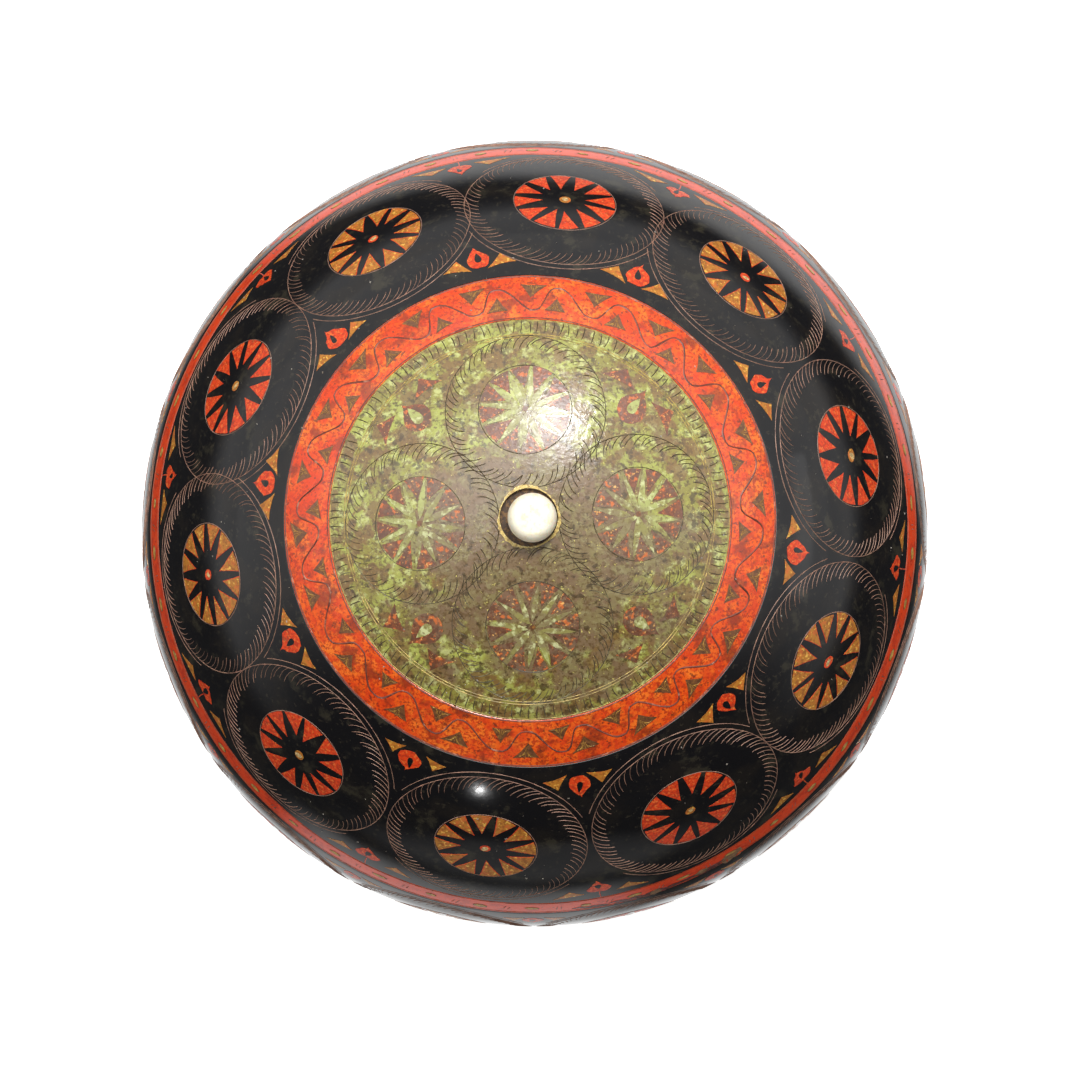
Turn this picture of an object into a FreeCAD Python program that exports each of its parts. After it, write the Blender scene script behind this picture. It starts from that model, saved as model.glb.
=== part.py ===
import FreeCAD, Part
import math
import os

# A globe-shaped covered bowl, turned from wood and coated on the lathe with bands of lac.
# The lid is the upper part of the globe. It drops over a spigot on the bowl, lifts straight off,
# and turns freely on its seat. A small bone knob stands in a loose hole at its crown.
# Millimetres. +Z is up the turning axis, and the origin is the centre of the ring it stands on.

# The globe's outline: two half ellipses that meet at its widest section.
GLOBE_RADIUS = 140.0        # half of the greatest width, over the lac
BELLY_HEIGHT = 96.0         # height of the widest section above the ground
CROWN_RISE = 142.0          # from the widest section up to the top of the lid
CURVE_BELOW_GROUND = 2.0    # how far the belly's curve would pass below the ground at the axis
RIM_RISE = 52.4             # from the widest section up to the seat of the lid

# Walls and coats.
WALL = 9.0                  # wood in the lid and in the bowl's side
FLOOR_HEIGHT = 17.0         # from the ground to the wood inside the bowl
LAC = 0.8                   # lac on the outside
INSIDE_LAC = 0.4            # lac on the inside

# Foot ring.
FOOT_RADIUS = 60.0
FOOT_RING_WIDTH = 9.0
FOOT_RECESS = 3.0           # hollow inside the ring
FOOT_BARE_EDGE = 1.2        # bare wood below the lac, chamfered

# Seat of the lid on the bowl.
SPIGOT_THICKNESS = 4.5
SPIGOT_HEIGHT = 6.0
SPIGOT_BEVEL = 0.8
SPIGOT_CLEARANCE = 0.5      # all round, between the spigot and the lid
SEAT_GAP = 0.3              # between the lid's rim and the bowl, and over the spigot

# Edges between the bands of lac.
GREEN_DROP = 14.6           # the green medallion's edge, below the crown
ORANGE_DROP = 23.2          # the lid's orange band's outer edge, below the crown
RED_BAND_HEIGHT = 10.1      # the red band, above the lid's rim
BOWL_BLACK_DEPTH = 24.0     # the bowl's black lac ends this far below the widest section
BOWL_ORANGE_DEPTH = 36.0    # and its orange band this far

# Knob, its stem and the collar that keeps it in the lid.
KNOB_RADIUS = 7.4
KNOB_FOOT_RADIUS = 6.5
KNOB_TOP_RADIUS = 4.4
KNOB_HEIGHT = 11.0
KNOB_BELLY_HEIGHT = 6.5     # height of the knob's widest part above its foot
KNOB_OFFSET = (1.1, -0.3)   # the knob leans to one side of its loose hole
KNOB_CLEARANCE = 0.3
RECESS_DEPTH = 2.0          # socket round the knob's foot
STEM_RADIUS = 3.0
COLLAR_RADIUS = 9.0
COLLAR_THICKNESS = 5.0
GLUE_GAP = 0.05

UPPER = (GLOBE_RADIUS, CROWN_RISE)
LOWER = (GLOBE_RADIUS, BELLY_HEIGHT + CURVE_BELOW_GROUND)
INSIDE = LAC + WALL
INNER_LOWER = (GLOBE_RADIUS - INSIDE, BELLY_HEIGHT - FLOOR_HEIGHT)

SEAT_HEIGHT = BELLY_HEIGHT + RIM_RISE
LID_RIM = SEAT_HEIGHT + SEAT_GAP
REBATE_TOP = SEAT_HEIGHT + SPIGOT_HEIGHT + SEAT_GAP
CROWN = BELLY_HEIGHT + CROWN_RISE
KNOB_SHIFT = math.hypot(*KNOB_OFFSET)
SOCKET_RADIUS = KNOB_RADIUS + KNOB_SHIFT + KNOB_CLEARANCE
HOLE_RADIUS = STEM_RADIUS + KNOB_SHIFT + KNOB_CLEARANCE
SOCKET_FLOOR = CROWN - RECESS_DEPTH
KNOB_FOOT = SOCKET_FLOOR + KNOB_CLEARANCE

EQUATOR = 0.0
NADIR = -math.pi / 2
SAME_POINT = 1e-6


def at_height(curve, depth, height):
    """Eccentric angle where a curve of the globe, `depth` below its surface, reaches a height."""
    return math.asin((height - BELLY_HEIGHT) / (curve[1] - depth))


def at_radius(curve, depth, radius):
    """Eccentric angle, above the widest section, where such a curve reaches a radius."""
    return math.acos(radius / (curve[0] - depth))


def outline(curve, depth, start, end):
    """Edge along a curve of the globe, `depth` below its surface, between two eccentric angles."""
    angles = (start, (start + end) / 2, end)
    arc = Part.Arc(*[FreeCAD.Vector(math.cos(a), 0, math.sin(a)) for a in angles])
    stretch = FreeCAD.Matrix()
    stretch.scale(curve[0] - depth, 1, curve[1] - depth)
    stretch.move(0, 0, BELLY_HEIGHT)
    return arc.toShape().transformGeometry(stretch)


def at(radius, height):
    """Point of a turned profile."""
    return FreeCAD.Vector(radius, 0, height)


def turned(*steps):
    """Solid turned about Z from points and edges in order, joined by straight cuts."""
    edges = []
    spans = []
    for step in steps:
        if isinstance(step, Part.Shape):
            edges.append(step)
            spans.append([vertex.Point for vertex in step.Vertexes])
        else:
            spans.append([step, step])
    for span, following in zip(spans, spans[1:] + spans[:1]):
        if not span[-1].isEqual(following[0], SAME_POINT):
            edges.append(Part.LineSegment(span[-1], following[0]).toShape())
    face = Part.Face(Part.Wire(Part.__sortEdges__(edges)))
    return face.revolve(FreeCAD.Vector(), FreeCAD.Vector(0, 0, 1), 360)


def coat(curve, start, end):
    """Band of outside lac between two eccentric angles on one curve."""
    return turned(outline(curve, 0, start, end), outline(curve, LAC, end, start))


def bowl_core():
    """Turned bowl with its foot ring, its seat and the spigot that centres the lid."""
    foot_side = FOOT_RADIUS - LAC
    foot_inside = FOOT_RADIUS - FOOT_RING_WIDTH
    mouth_angle = at_height(UPPER, INSIDE, SEAT_HEIGHT)
    mouth = (GLOBE_RADIUS - INSIDE) * math.cos(mouth_angle)
    spigot = mouth + SPIGOT_THICKNESS
    top = SEAT_HEIGHT + SPIGOT_HEIGHT
    return turned(
        at(0, FOOT_RECESS),
        at(foot_inside, FOOT_RECESS),
        at(foot_inside, 0),
        at(FOOT_RADIUS - FOOT_BARE_EDGE - LAC, 0),
        at(foot_side, FOOT_BARE_EDGE),
        outline(LOWER, LAC, -at_radius(LOWER, LAC, foot_side), EQUATOR),
        outline(UPPER, LAC, EQUATOR, at_height(UPPER, LAC, SEAT_HEIGHT)),
        at(spigot, SEAT_HEIGHT),
        at(spigot, top - SPIGOT_BEVEL),
        at(spigot - SPIGOT_BEVEL, top),
        at(mouth + SPIGOT_BEVEL, top),
        at(mouth, top - SPIGOT_BEVEL),
        outline(UPPER, INSIDE, mouth_angle, EQUATOR),
        outline(INNER_LOWER, 0, EQUATOR, NADIR),
    )


def bowl_black_lac():
    """Black lac from the seat to below the widest section."""
    end = at_height(LOWER, 0, BELLY_HEIGHT - BOWL_BLACK_DEPTH)
    return turned(
        outline(UPPER, 0, at_height(UPPER, 0, SEAT_HEIGHT), EQUATOR),
        outline(LOWER, 0, EQUATOR, end),
        outline(LOWER, LAC, end, EQUATOR),
        outline(UPPER, LAC, EQUATOR, at_height(UPPER, LAC, SEAT_HEIGHT)),
    )


def bowl_orange_lac():
    """Narrow orange band under the black one."""
    start = at_height(LOWER, 0, BELLY_HEIGHT - BOWL_BLACK_DEPTH)
    end = at_height(LOWER, 0, BELLY_HEIGHT - BOWL_ORANGE_DEPTH)
    return coat(LOWER, start, end)


def bowl_green_lac():
    """Green lac on the underside of the bowl, down to the foot."""
    start = at_height(LOWER, 0, BELLY_HEIGHT - BOWL_ORANGE_DEPTH)
    return coat(LOWER, start, -at_radius(LOWER, 0, FOOT_RADIUS))


def bowl_foot_lac():
    """Black lac round the foot ring."""
    corner = at_radius(LOWER, 0, FOOT_RADIUS)
    foot_side = FOOT_RADIUS - LAC
    return turned(
        at(foot_side, FOOT_BARE_EDGE),
        at(FOOT_RADIUS, FOOT_BARE_EDGE),
        at(FOOT_RADIUS, BELLY_HEIGHT - LOWER[1] * math.sin(corner)),
        outline(LOWER, LAC, -corner, -at_radius(LOWER, LAC, foot_side)),
    )


def bowl_inside_lac():
    """Thin plain lac inside the bowl, from the mouth to the floor."""
    below = INSIDE + INSIDE_LAC
    floor = (INNER_LOWER[0] - INSIDE_LAC, INNER_LOWER[1] - INSIDE_LAC)
    return turned(
        outline(UPPER, INSIDE, at_height(UPPER, INSIDE, SEAT_HEIGHT), EQUATOR),
        outline(INNER_LOWER, 0, EQUATOR, NADIR),
        outline(floor, 0, NADIR, EQUATOR),
        outline(UPPER, below, EQUATOR, at_height(UPPER, below, SEAT_HEIGHT)),
    )


def lid_core():
    """Turned dome, rebated to drop over the spigot, with the knob's socket and hole."""
    mouth_angle = at_height(UPPER, INSIDE, SEAT_HEIGHT)
    mouth = (GLOBE_RADIUS - INSIDE) * math.cos(mouth_angle)
    rebate = mouth + SPIGOT_THICKNESS + SPIGOT_CLEARANCE
    return turned(
        at(rebate, REBATE_TOP),
        at(rebate, LID_RIM),
        outline(UPPER, LAC, at_height(UPPER, LAC, LID_RIM), at_radius(UPPER, LAC, SOCKET_RADIUS)),
        at(SOCKET_RADIUS, SOCKET_FLOOR),
        at(HOLE_RADIUS, SOCKET_FLOOR),
        outline(UPPER, INSIDE, at_radius(UPPER, INSIDE, HOLE_RADIUS),
                at_height(UPPER, INSIDE, REBATE_TOP)),
    )


def lid_green_lac():
    """Green medallion round the knob's socket."""
    edge = at_height(UPPER, 0, CROWN - GREEN_DROP)
    return turned(
        outline(UPPER, 0, edge, at_radius(UPPER, 0, SOCKET_RADIUS)),
        outline(UPPER, LAC, at_radius(UPPER, LAC, SOCKET_RADIUS), edge),
    )


def lid_orange_lac():
    """Orange band round the medallion."""
    inner = at_height(UPPER, 0, CROWN - GREEN_DROP)
    outer = at_height(UPPER, 0, CROWN - ORANGE_DROP)
    return coat(UPPER, outer, inner)


def lid_black_lac():
    """Broad black zone of the dome."""
    inner = at_height(UPPER, 0, CROWN - ORANGE_DROP)
    outer = at_height(UPPER, 0, LID_RIM + RED_BAND_HEIGHT)
    return coat(UPPER, outer, inner)


def lid_red_lac():
    """Red band along the lid's rim."""
    inner = at_height(UPPER, 0, LID_RIM + RED_BAND_HEIGHT)
    return turned(
        outline(UPPER, 0, at_height(UPPER, 0, LID_RIM), inner),
        outline(UPPER, LAC, inner, at_height(UPPER, LAC, LID_RIM)),
    )


def lid_inside_lac():
    """Thin plain lac inside the dome, from the hole to the rebate."""
    below = INSIDE + INSIDE_LAC
    return turned(
        outline(UPPER, INSIDE, at_height(UPPER, INSIDE, REBATE_TOP),
                at_radius(UPPER, INSIDE, HOLE_RADIUS)),
        outline(UPPER, below, at_radius(UPPER, below, HOLE_RADIUS),
                at_height(UPPER, below, REBATE_TOP)),
    )


def collar_top():
    """Height of the collar's upper face, clear of the dome's inside at its rim."""
    below = INSIDE + INSIDE_LAC
    edge = at_radius(UPPER, below, COLLAR_RADIUS + KNOB_SHIFT)
    return BELLY_HEIGHT + (CROWN_RISE - below) * math.sin(edge) - KNOB_CLEARANCE


def on_knob_axis(shape):
    """The shape, moved from the turning axis to the knob's own axis."""
    shape.translate(FreeCAD.Vector(KNOB_OFFSET[0], KNOB_OFFSET[1], 0))
    return shape


def knob():
    """Bone knob with its stem, turned in one piece."""
    belly = KNOB_FOOT + KNOB_BELLY_HEIGHT
    top = KNOB_FOOT + KNOB_HEIGHT
    shoulder = KNOB_TOP_RADIUS + (KNOB_RADIUS - KNOB_TOP_RADIUS) * math.sin(math.pi / 4)
    shoulder_height = belly + (top - belly) * math.sin(math.pi / 4)
    side = (KNOB_FOOT_RADIUS + 2 * KNOB_RADIUS) / 3
    return on_knob_axis(turned(
        at(0, collar_top() - COLLAR_THICKNESS),
        at(STEM_RADIUS, collar_top() - COLLAR_THICKNESS),
        at(STEM_RADIUS, KNOB_FOOT),
        Part.Arc(at(KNOB_FOOT_RADIUS, KNOB_FOOT), at(side, (KNOB_FOOT + belly) / 2),
                 at(KNOB_RADIUS, belly)).toShape(),
        Part.Arc(at(KNOB_RADIUS, belly), at(shoulder, shoulder_height),
                 at(KNOB_TOP_RADIUS, top)).toShape(),
        at(0, top),
    ))


def knob_collar():
    """Wooden collar glued on the end of the stem, inside the lid."""
    bore = STEM_RADIUS + GLUE_GAP
    return on_knob_axis(turned(
        at(bore, collar_top()),
        at(COLLAR_RADIUS, collar_top()),
        at(COLLAR_RADIUS, collar_top() - COLLAR_THICKNESS),
        at(bore, collar_top() - COLLAR_THICKNESS),
    ))


PIECES = (
    bowl_core, bowl_black_lac, bowl_orange_lac, bowl_green_lac, bowl_foot_lac, bowl_inside_lac,
    lid_core, lid_green_lac, lid_orange_lac, lid_black_lac, lid_red_lac, lid_inside_lac,
    knob, knob_collar,
)

os.makedirs("parts", exist_ok=True)
for piece in PIECES:
    piece().exportStep("parts/%s.step" % piece.__name__)
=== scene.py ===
import math
import random

import bmesh
import bpy
from mathutils import Matrix, Vector
from mathutils.geometry import delaunay_2d_cdt


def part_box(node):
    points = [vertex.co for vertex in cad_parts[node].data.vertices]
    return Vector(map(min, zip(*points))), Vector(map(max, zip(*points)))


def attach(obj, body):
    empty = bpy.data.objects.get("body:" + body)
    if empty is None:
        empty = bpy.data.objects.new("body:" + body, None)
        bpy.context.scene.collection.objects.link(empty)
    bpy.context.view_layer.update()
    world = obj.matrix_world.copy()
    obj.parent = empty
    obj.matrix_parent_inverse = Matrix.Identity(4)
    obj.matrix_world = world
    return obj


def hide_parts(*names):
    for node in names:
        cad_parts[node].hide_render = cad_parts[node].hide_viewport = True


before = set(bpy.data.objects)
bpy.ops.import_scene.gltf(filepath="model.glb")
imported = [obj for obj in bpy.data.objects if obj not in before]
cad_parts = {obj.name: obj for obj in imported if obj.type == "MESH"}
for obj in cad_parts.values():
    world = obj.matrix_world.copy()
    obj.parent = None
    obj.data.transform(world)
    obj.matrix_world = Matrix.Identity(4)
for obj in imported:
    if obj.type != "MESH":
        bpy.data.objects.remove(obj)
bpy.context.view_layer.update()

bl_info = {
    "name": "Covered lac bowl",
    "version": (1, 0, 0),
    "blender": (4, 5, 0),
    "location": "3D View > Sidebar > Lac bowl",
    "description": "Lays the lac coats and the incised ornament on a turned covered bowl",
    "category": "Object",
}

# A globe-shaped covered bowl, turned from wood, coated with bands of lac while it spins in the
# lathe and then incised by hand. Ornament is drawn flat, in metres, as it would lie on a sheet of
# paper pressed on the globe, and Geometry Nodes wrap it on. In such a flat drawing +Y points down
# the globe, away from the crown, +X points clockwise as seen from above, and Z is height over the
# globe's outline. The attribute "lean" is the angle from the crown to the drawing's centre, and
# "azimuth" is the centre's, counted clockwise from world +Y.

MM = 0.001

BELLY = max(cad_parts["bowl_black_lac"].data.vertices, key=lambda v: v.co.x).co
HALF_WIDTH = BELLY.x
BELLY_HEIGHT = BELLY.z
CROWN_RISE = 142 * MM                                 # from the widest section to the crown
UNDER_DEPTH = BELLY_HEIGHT + 2 * MM                   # lower half ellipse of the outline
GLOBE = (HALF_WIDTH + CROWN_RISE) / 2                 # radius that turns arcs into angles
COAT_INSET = 0.2 * MM                                 # the lac's face lies this far inside the CAD
COAT_DEPTH = 0.78 * MM                                # and its back this far

# Heights of the edges between the bands, taken from the frame.
GREEN_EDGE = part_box("lid_orange_lac")[1].z
ORANGE_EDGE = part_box("lid_black_lac")[1].z
RED_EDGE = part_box("lid_red_lac")[1].z
LID_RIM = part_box("lid_red_lac")[0].z
BOWL_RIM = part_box("bowl_black_lac")[1].z
BOWL_BLACK_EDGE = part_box("bowl_black_lac")[0].z
BOWL_ORANGE_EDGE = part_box("bowl_orange_lac")[0].z
FOOT_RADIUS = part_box("bowl_foot_lac")[1].x

OUTLINE_STEP = math.radians(0.5)


def outline_point(turn):
    """Radius and height of the globe's outline, at an eccentric angle counted from the crown."""
    rise = CROWN_RISE if turn <= math.pi / 2 else UNDER_DEPTH
    return Vector((HALF_WIDTH * math.sin(turn), 0, BELLY_HEIGHT + rise * math.cos(turn)))


def outline_table():
    """Arc length from the crown, with the outline's point there, down to the nadir."""
    table = [(0.0, outline_point(0))]
    for step in range(1, round(math.pi / OUTLINE_STEP) + 1):
        point = outline_point(step * OUTLINE_STEP)
        table.append((table[-1][0] + (point - table[-1][1]).length, point))
    return table


OUTLINE = outline_table()


def between(table, key, value):
    """Entry and share along it where key(entry), which rises down the table, passes a value."""
    for first, second in zip(table, table[1:]):
        if key(second) >= value:
            return first, second, (value - key(first)) / (key(second) - key(first))
    return table[-2], table[-1], 1.0


def arc_at(height):
    """Arc length from the crown to where the outline passes a height."""
    first, second, share = between(OUTLINE, lambda entry: -entry[1].z, -height)
    return first[0] + share * (second[0] - first[0])


def on_outline(arc, inset):
    """Radius and height `inset` under the outline, at an arc length from the crown."""
    first, second, share = between(OUTLINE, lambda entry: entry[0], arc)
    along = (second[1] - first[1]).normalized()
    return first[1].lerp(second[1], share) - inset * Vector((-along.z, 0, along.x))


ARC = {name: arc_at(height) for name, height in (
    ("green", GREEN_EDGE), ("orange", ORANGE_EDGE), ("red", RED_EDGE), ("lid", LID_RIM),
    ("bowl", BOWL_RIM), ("bowl_black", BOWL_BLACK_EDGE), ("bowl_orange", BOWL_ORANGE_EDGE))}
ARC["foot"] = next(arc for arc, point in OUTLINE if point.z < BELLY_HEIGHT and point.x < FOOT_RADIUS)


# ---------------------------------------------------------------- sizes and colours

def length(name, description, default):
    return bpy.props.FloatProperty(name=name, description=description, default=default * MM,
                                   unit="LENGTH", precision=5, min=0.0)


def count(name, description, default):
    return bpy.props.IntProperty(name=name, description=description, default=default, min=1)


def linear(code):
    """Linear RGBA of an sRGB hex code such as C63A1C."""
    channels = [int(code[i:i + 2], 16) / 255 for i in (0, 2, 4)]
    return [c / 12.92 if c <= 0.04045 else ((c + 0.055) / 1.055) ** 2.4 for c in channels] + [1.0]


def colour(name, description, code):
    return bpy.props.FloatVectorProperty(name=name, description=description, subtype="COLOR",
                                         size=4, min=0.0, max=1.0, default=linear(code))


class RoundelSizes(bpy.types.PropertyGroup):
    """Sizes of the feathered roundels on the black zones."""
    circle: length("Circle", "Radius of the compass circle the feather strokes hang from", 32.9)
    outer_circle: length("Outer circle", "Radius of the second circle, between roundels", 34.8)
    wheel: length("Wheel", "Radius of the coloured wheel", 16.4)
    stroke: length("Stroke", "Length of a feather stroke", 6.9)
    strokes: count("Strokes", "Feather strokes round one circle", 80)
    petals: count("Petals", "Black petals that cut a wheel", 12)
    lid_arc: length("Lid place", "From the crown to a roundel's centre, along the dome", 119.6)
    bowl_arc: length("Bowl place", "From the bowl's rim to a roundel's centre", 37.6)
    bowl_count: count("Bowl roundels", "Roundels round the bowl", 13)


class BandSizes(bpy.types.PropertyGroup):
    """Sizes of the ornament on the orange band, the medallion and the red band."""
    waves: count("Waves", "Waves of the running line round the lid", 22)
    wave_height: length("Wave height", "Half the width the running line takes", 4.7)
    ticks: count("Ticks", "Short cuts round the medallion's border", 152)
    tick: length("Tick", "Length of a border cut", 4.2)
    medallion_wheel: length("Medallion wheel", "Radius of the medallion's wheels", 14.0)
    medallion_circle: length("Medallion circle", "Radius of their feather circles", 24.6)
    medallion_arc: length("Medallion place", "From the crown to a wheel's centre", 33.6)
    ovals: count("Ovals", "Small ovals round the red band", 46)


class LacColours(bpy.types.PropertyGroup):
    """Colours of the lac, the wood and the bone."""
    black: colour("Black lac", "Black zones", "131214")
    orange: colour("Orange lac", "Orange bands", "E0470C")
    green: colour("Green lac", "Medallion and underside", "A4A850")
    red: colour("Red lac", "Rim band", "F0460F")
    cut: colour("Cut", "Scored lines, where the ground shows", "94705C")
    gold: colour("Gold lac", "Gold wheels and triangles", "B87628")
    vermilion: colour("Vermilion", "Red wheels and leaves", "DE4214")
    wood: colour("Wood", "Bare turned wood", "A9824F")
    bone: colour("Bone", "Knob", "FBF3DC")
    inside: colour("Inside lac", "Plain coat inside", "7E2A1A")


def sizes():
    return bpy.context.scene.lac_roundels, bpy.context.scene.lac_bands


def colours():
    return bpy.context.scene.lac_colours


# ---------------------------------------------------------------- nodes

def add(tree, kind, inputs=None, **settings):
    """Adds a node. inputs maps a socket's name or number to a value or to a socket to link."""
    node = tree.nodes.new(kind)
    for name, value in settings.items():
        setattr(node, name, value)
    for key, value in (inputs or {}).items():
        if isinstance(value, bpy.types.NodeSocket):
            tree.links.new(value, node.inputs[key])
        else:
            node.inputs[key].default_value = value
    return node


def maths(tree, operation, *values):
    return add(tree, "ShaderNodeMath", dict(enumerate(values)), operation=operation).outputs[0]


def vector(tree, operation, *values):
    return add(tree, "ShaderNodeVectorMath", dict(enumerate(values)), operation=operation).outputs


def scaled(tree, a, factor):
    return add(tree, "ShaderNodeVectorMath", {0: a, 3: factor}, operation="SCALE").outputs[0]


def upright(tree, height):
    return add(tree, "ShaderNodeCombineXYZ", {2: height}).outputs[0]


def parts(tree, a):
    return add(tree, "ShaderNodeSeparateXYZ", {0: a}).outputs


def smooth_ramp(tree, value, start, end, first, last):
    """Value that goes from first to last, softly, as another goes from start to end."""
    return add(tree, "ShaderNodeMapRange", {"Value": value, "From Min": start, "From Max": end,
                                            "To Min": first, "To Max": last},
               interpolation_type="SMOOTHSTEP").outputs[0]


def layered(tree, place, base, patches):
    """Colour with patches of other colours over it.

    Each patch is (colour, size in metres, threshold, softness, amount)."""
    now = base
    for index, (tint, size, threshold, softness, amount) in enumerate(patches):
        shifted = vector(tree, "ADD", place, (0.37 * index, 0.11, 0))[0]
        noise = add(tree, "ShaderNodeTexNoise",
                    {"Vector": shifted, "Scale": 1 / size, "Detail": 4.0, "Roughness": 0.6})
        share = smooth_ramp(tree, noise.outputs["Fac"], threshold - softness, threshold + softness,
                            0.0, amount)
        now = add(tree, "ShaderNodeMix", {0: share, 6: now, 7: linear(tint)},
                  data_type="RGBA").outputs[2]
    return now


def mottled(name, base, patches, roughness, bump=0.0, bump_size=1 * MM, ior=1.45, centre=None):
    """Material whose base colour is crossed by patches of others.

    roughness is a pair, for polished and for worn places. centre is (colour, radius, amount, offset)
    of a darker blotch near the upright axis: dirt that hands have left round the knob, with its
    middle moved by the offset toward the front right, which is painted shade."""
    material = bpy.data.materials.new(name)
    material.use_nodes = True
    tree = material.node_tree
    shader = tree.nodes["Principled BSDF"]
    place = add(tree, "ShaderNodeTexCoord").outputs["Object"]
    now = layered(tree, place, base, patches[:-3] if centre else patches)
    # The blotch round the knob is dirt; its shift toward the front right is painted shade.
    if centre:
        level = vector(tree, "MULTIPLY_ADD", place, (1, 1, 0), centre[3])[0]
        away = vector(tree, "LENGTH", level)["Value"]
        dirt_and_shade_edge = add(tree, "ShaderNodeTexNoise",
                      {"Vector": place, "Scale": 1 / (11 * MM), "Detail": 6.0, "Roughness": 0.65})
        reach = add(tree, "ShaderNodeMapRange",
                    {"Value": dirt_and_shade_edge.outputs["Fac"], "From Min": 0.35, "From Max": 0.65,
                     "To Min": 0.5 * centre[1], "To Max": 1.5 * centre[1]})
        near = maths(tree, "DIVIDE", away, reach.outputs[0])
        share = smooth_ramp(tree, near, 0.6, 1.15, centre[2], 0.0)
        now = add(tree, "ShaderNodeMix", {0: share, 6: now, 7: linear(centre[0])},
                  data_type="RGBA").outputs[2]
        now = layered(tree, place, now, patches[-3:])
    tree.links.new(now, shader.inputs["Base Color"])
    worn = add(tree, "ShaderNodeTexNoise", {"Vector": place, "Scale": 1 / (18 * MM), "Detail": 6.0})
    rough = add(tree, "ShaderNodeMapRange",
                {"Value": worn.outputs["Fac"], "From Min": 0.35, "From Max": 0.7,
                 "To Min": roughness[0], "To Max": roughness[1]})
    tree.links.new(rough.outputs[0], shader.inputs["Roughness"])
    if bump:
        grain = add(tree, "ShaderNodeTexNoise",
                    {"Vector": place, "Scale": 1 / bump_size, "Detail": 3.0})
        relief = add(tree, "ShaderNodeBump",
                     {"Strength": 1.0, "Distance": bump, "Height": grain.outputs["Fac"]})
        tree.links.new(relief.outputs[0], shader.inputs["Normal"])
    shader.inputs["IOR"].default_value = ior
    return material


# Dirt round the knob, its middle 4 mm right of and 13 mm in front of the axis, so the front right is
# darker: that shift is painted shade.
KNOB_DIRT_AND_PAINTED_SHADE = ("76604A", 44 * MM, 0.78, (-4 * MM, 13 * MM, 0))


def black_lac():
    """Shellac coloured with lamp black, rubbed on in the lathe: a deep gloss with a brown cast."""
    return mottled("black shellac polished in the lathe", colours().black,
                   [("1F1B18", 14 * MM, 0.55, 0.08, 0.8), ("3C382C", 9 * MM, 0.62, 0.06, 0.6),
                    ("3A352A", 2 * MM, 0.63, 0.05, 0.6)],
                   (0.07, 0.14), bump=0.012 * MM, bump_size=2.5 * MM)


def orange_lac():
    """Orange shellac whose pigment has gone on in grains, darkened in patches by handling."""
    return mottled("orange shellac with coarse pigment", colours().orange,
                   [("F06412", 60 * MM, 0.50, 0.12, 0.8), ("F98428", 12 * MM, 0.54, 0.08, 0.65),
                    ("A8280C", 1.0 * MM, 0.53, 0.05, 0.8), ("D83C10", 3 * MM, 0.52, 0.08, 0.7),
                    ("802C10", 8 * MM, 0.58, 0.06, 0.75), ("5E2A18", 1.4 * MM, 0.62, 0.03, 0.8)],
                   (0.2, 0.32), bump=0.04 * MM, bump_size=0.8 * MM)


def green_lac():
    """Yellow-green shellac worn by hands, so that brown ground and dirt show through it. Dirt darkens
    it round the knob, and painted shade darkens it further toward the front right.
    """
    return mottled("green shellac worn by handling", colours().green,
                   [("857A36", 8 * MM, 0.48, 0.08, 0.85), ("C4C880", 3.2 * MM, 0.57, 0.05, 0.8),
                    ("74502F", 6 * MM, 0.52, 0.05, 0.8), ("5A4424", 1.3 * MM, 0.55, 0.05, 0.7),
                    ("3C2E18", 2.6 * MM, 0.60, 0.04, 0.75), ("DCCF72", 1.1 * MM, 0.67, 0.03, 0.8)],
                   (0.17, 0.34), bump=0.13 * MM, bump_size=1.9 * MM, centre=KNOB_DIRT_AND_PAINTED_SHADE)


def red_lac():
    """Opaque vermilion shellac on the rim, chipped and rubbed."""
    return mottled("red shellac polished in the lathe", colours().red,
                   [("C02E10", 5 * MM, 0.54, 0.06, 0.6), ("F05A28", 1.6 * MM, 0.58, 0.05, 0.5),
                    ("7A2A1A", 1.2 * MM, 0.66, 0.03, 0.8)],
                   (0.14, 0.24), bump=0.02 * MM, bump_size=2 * MM)


def scored_lac():
    """Groove scored through the black lac with a stylus: matt, pinkish brown ground."""
    return mottled("brown ground in scored lines", colours().cut,
                   [("6B4A3E", 3 * MM, 0.52, 0.06, 0.7), ("C08A74", 2 * MM, 0.60, 0.05, 0.7)],
                   (0.5, 0.6))


def dark_scored_lac():
    """The same groove on the light medallion, full of old dirt: a dark olive brown."""
    return mottled("dirt in scored lines", linear("40351F"),
                   [("8C8660", 5 * MM, 0.60, 0.05, 0.6), ("241C12", 2 * MM, 0.58, 0.05, 0.7)],
                   (0.5, 0.6))


def gold_lac():
    """Tin-gold lac under yellow varnish: dark gold with bright flecks."""
    return mottled("gold toned shellac inlay", colours().gold,
                   [("8A4E1E", 1.2 * MM, 0.53, 0.05, 0.7), ("D2662C", 2.4 * MM, 0.56, 0.05, 0.6),
                    ("F4C254", 1.2 * MM, 0.61, 0.04, 0.9)],
                   (0.2, 0.3), bump=0.02 * MM)


def vermilion_lac():
    """Vermilion lac inlaid in the black: orange red with darker grains."""
    return mottled("vermilion shellac inlay", colours().vermilion,
                   [("A82E16", 1.2 * MM, 0.52, 0.05, 0.7), ("F07A34", 1.0 * MM, 0.58, 0.04, 0.75),
                    ("8A3A26", 3 * MM, 0.64, 0.04, 0.6)],
                   (0.2, 0.3), bump=0.02 * MM)


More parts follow.
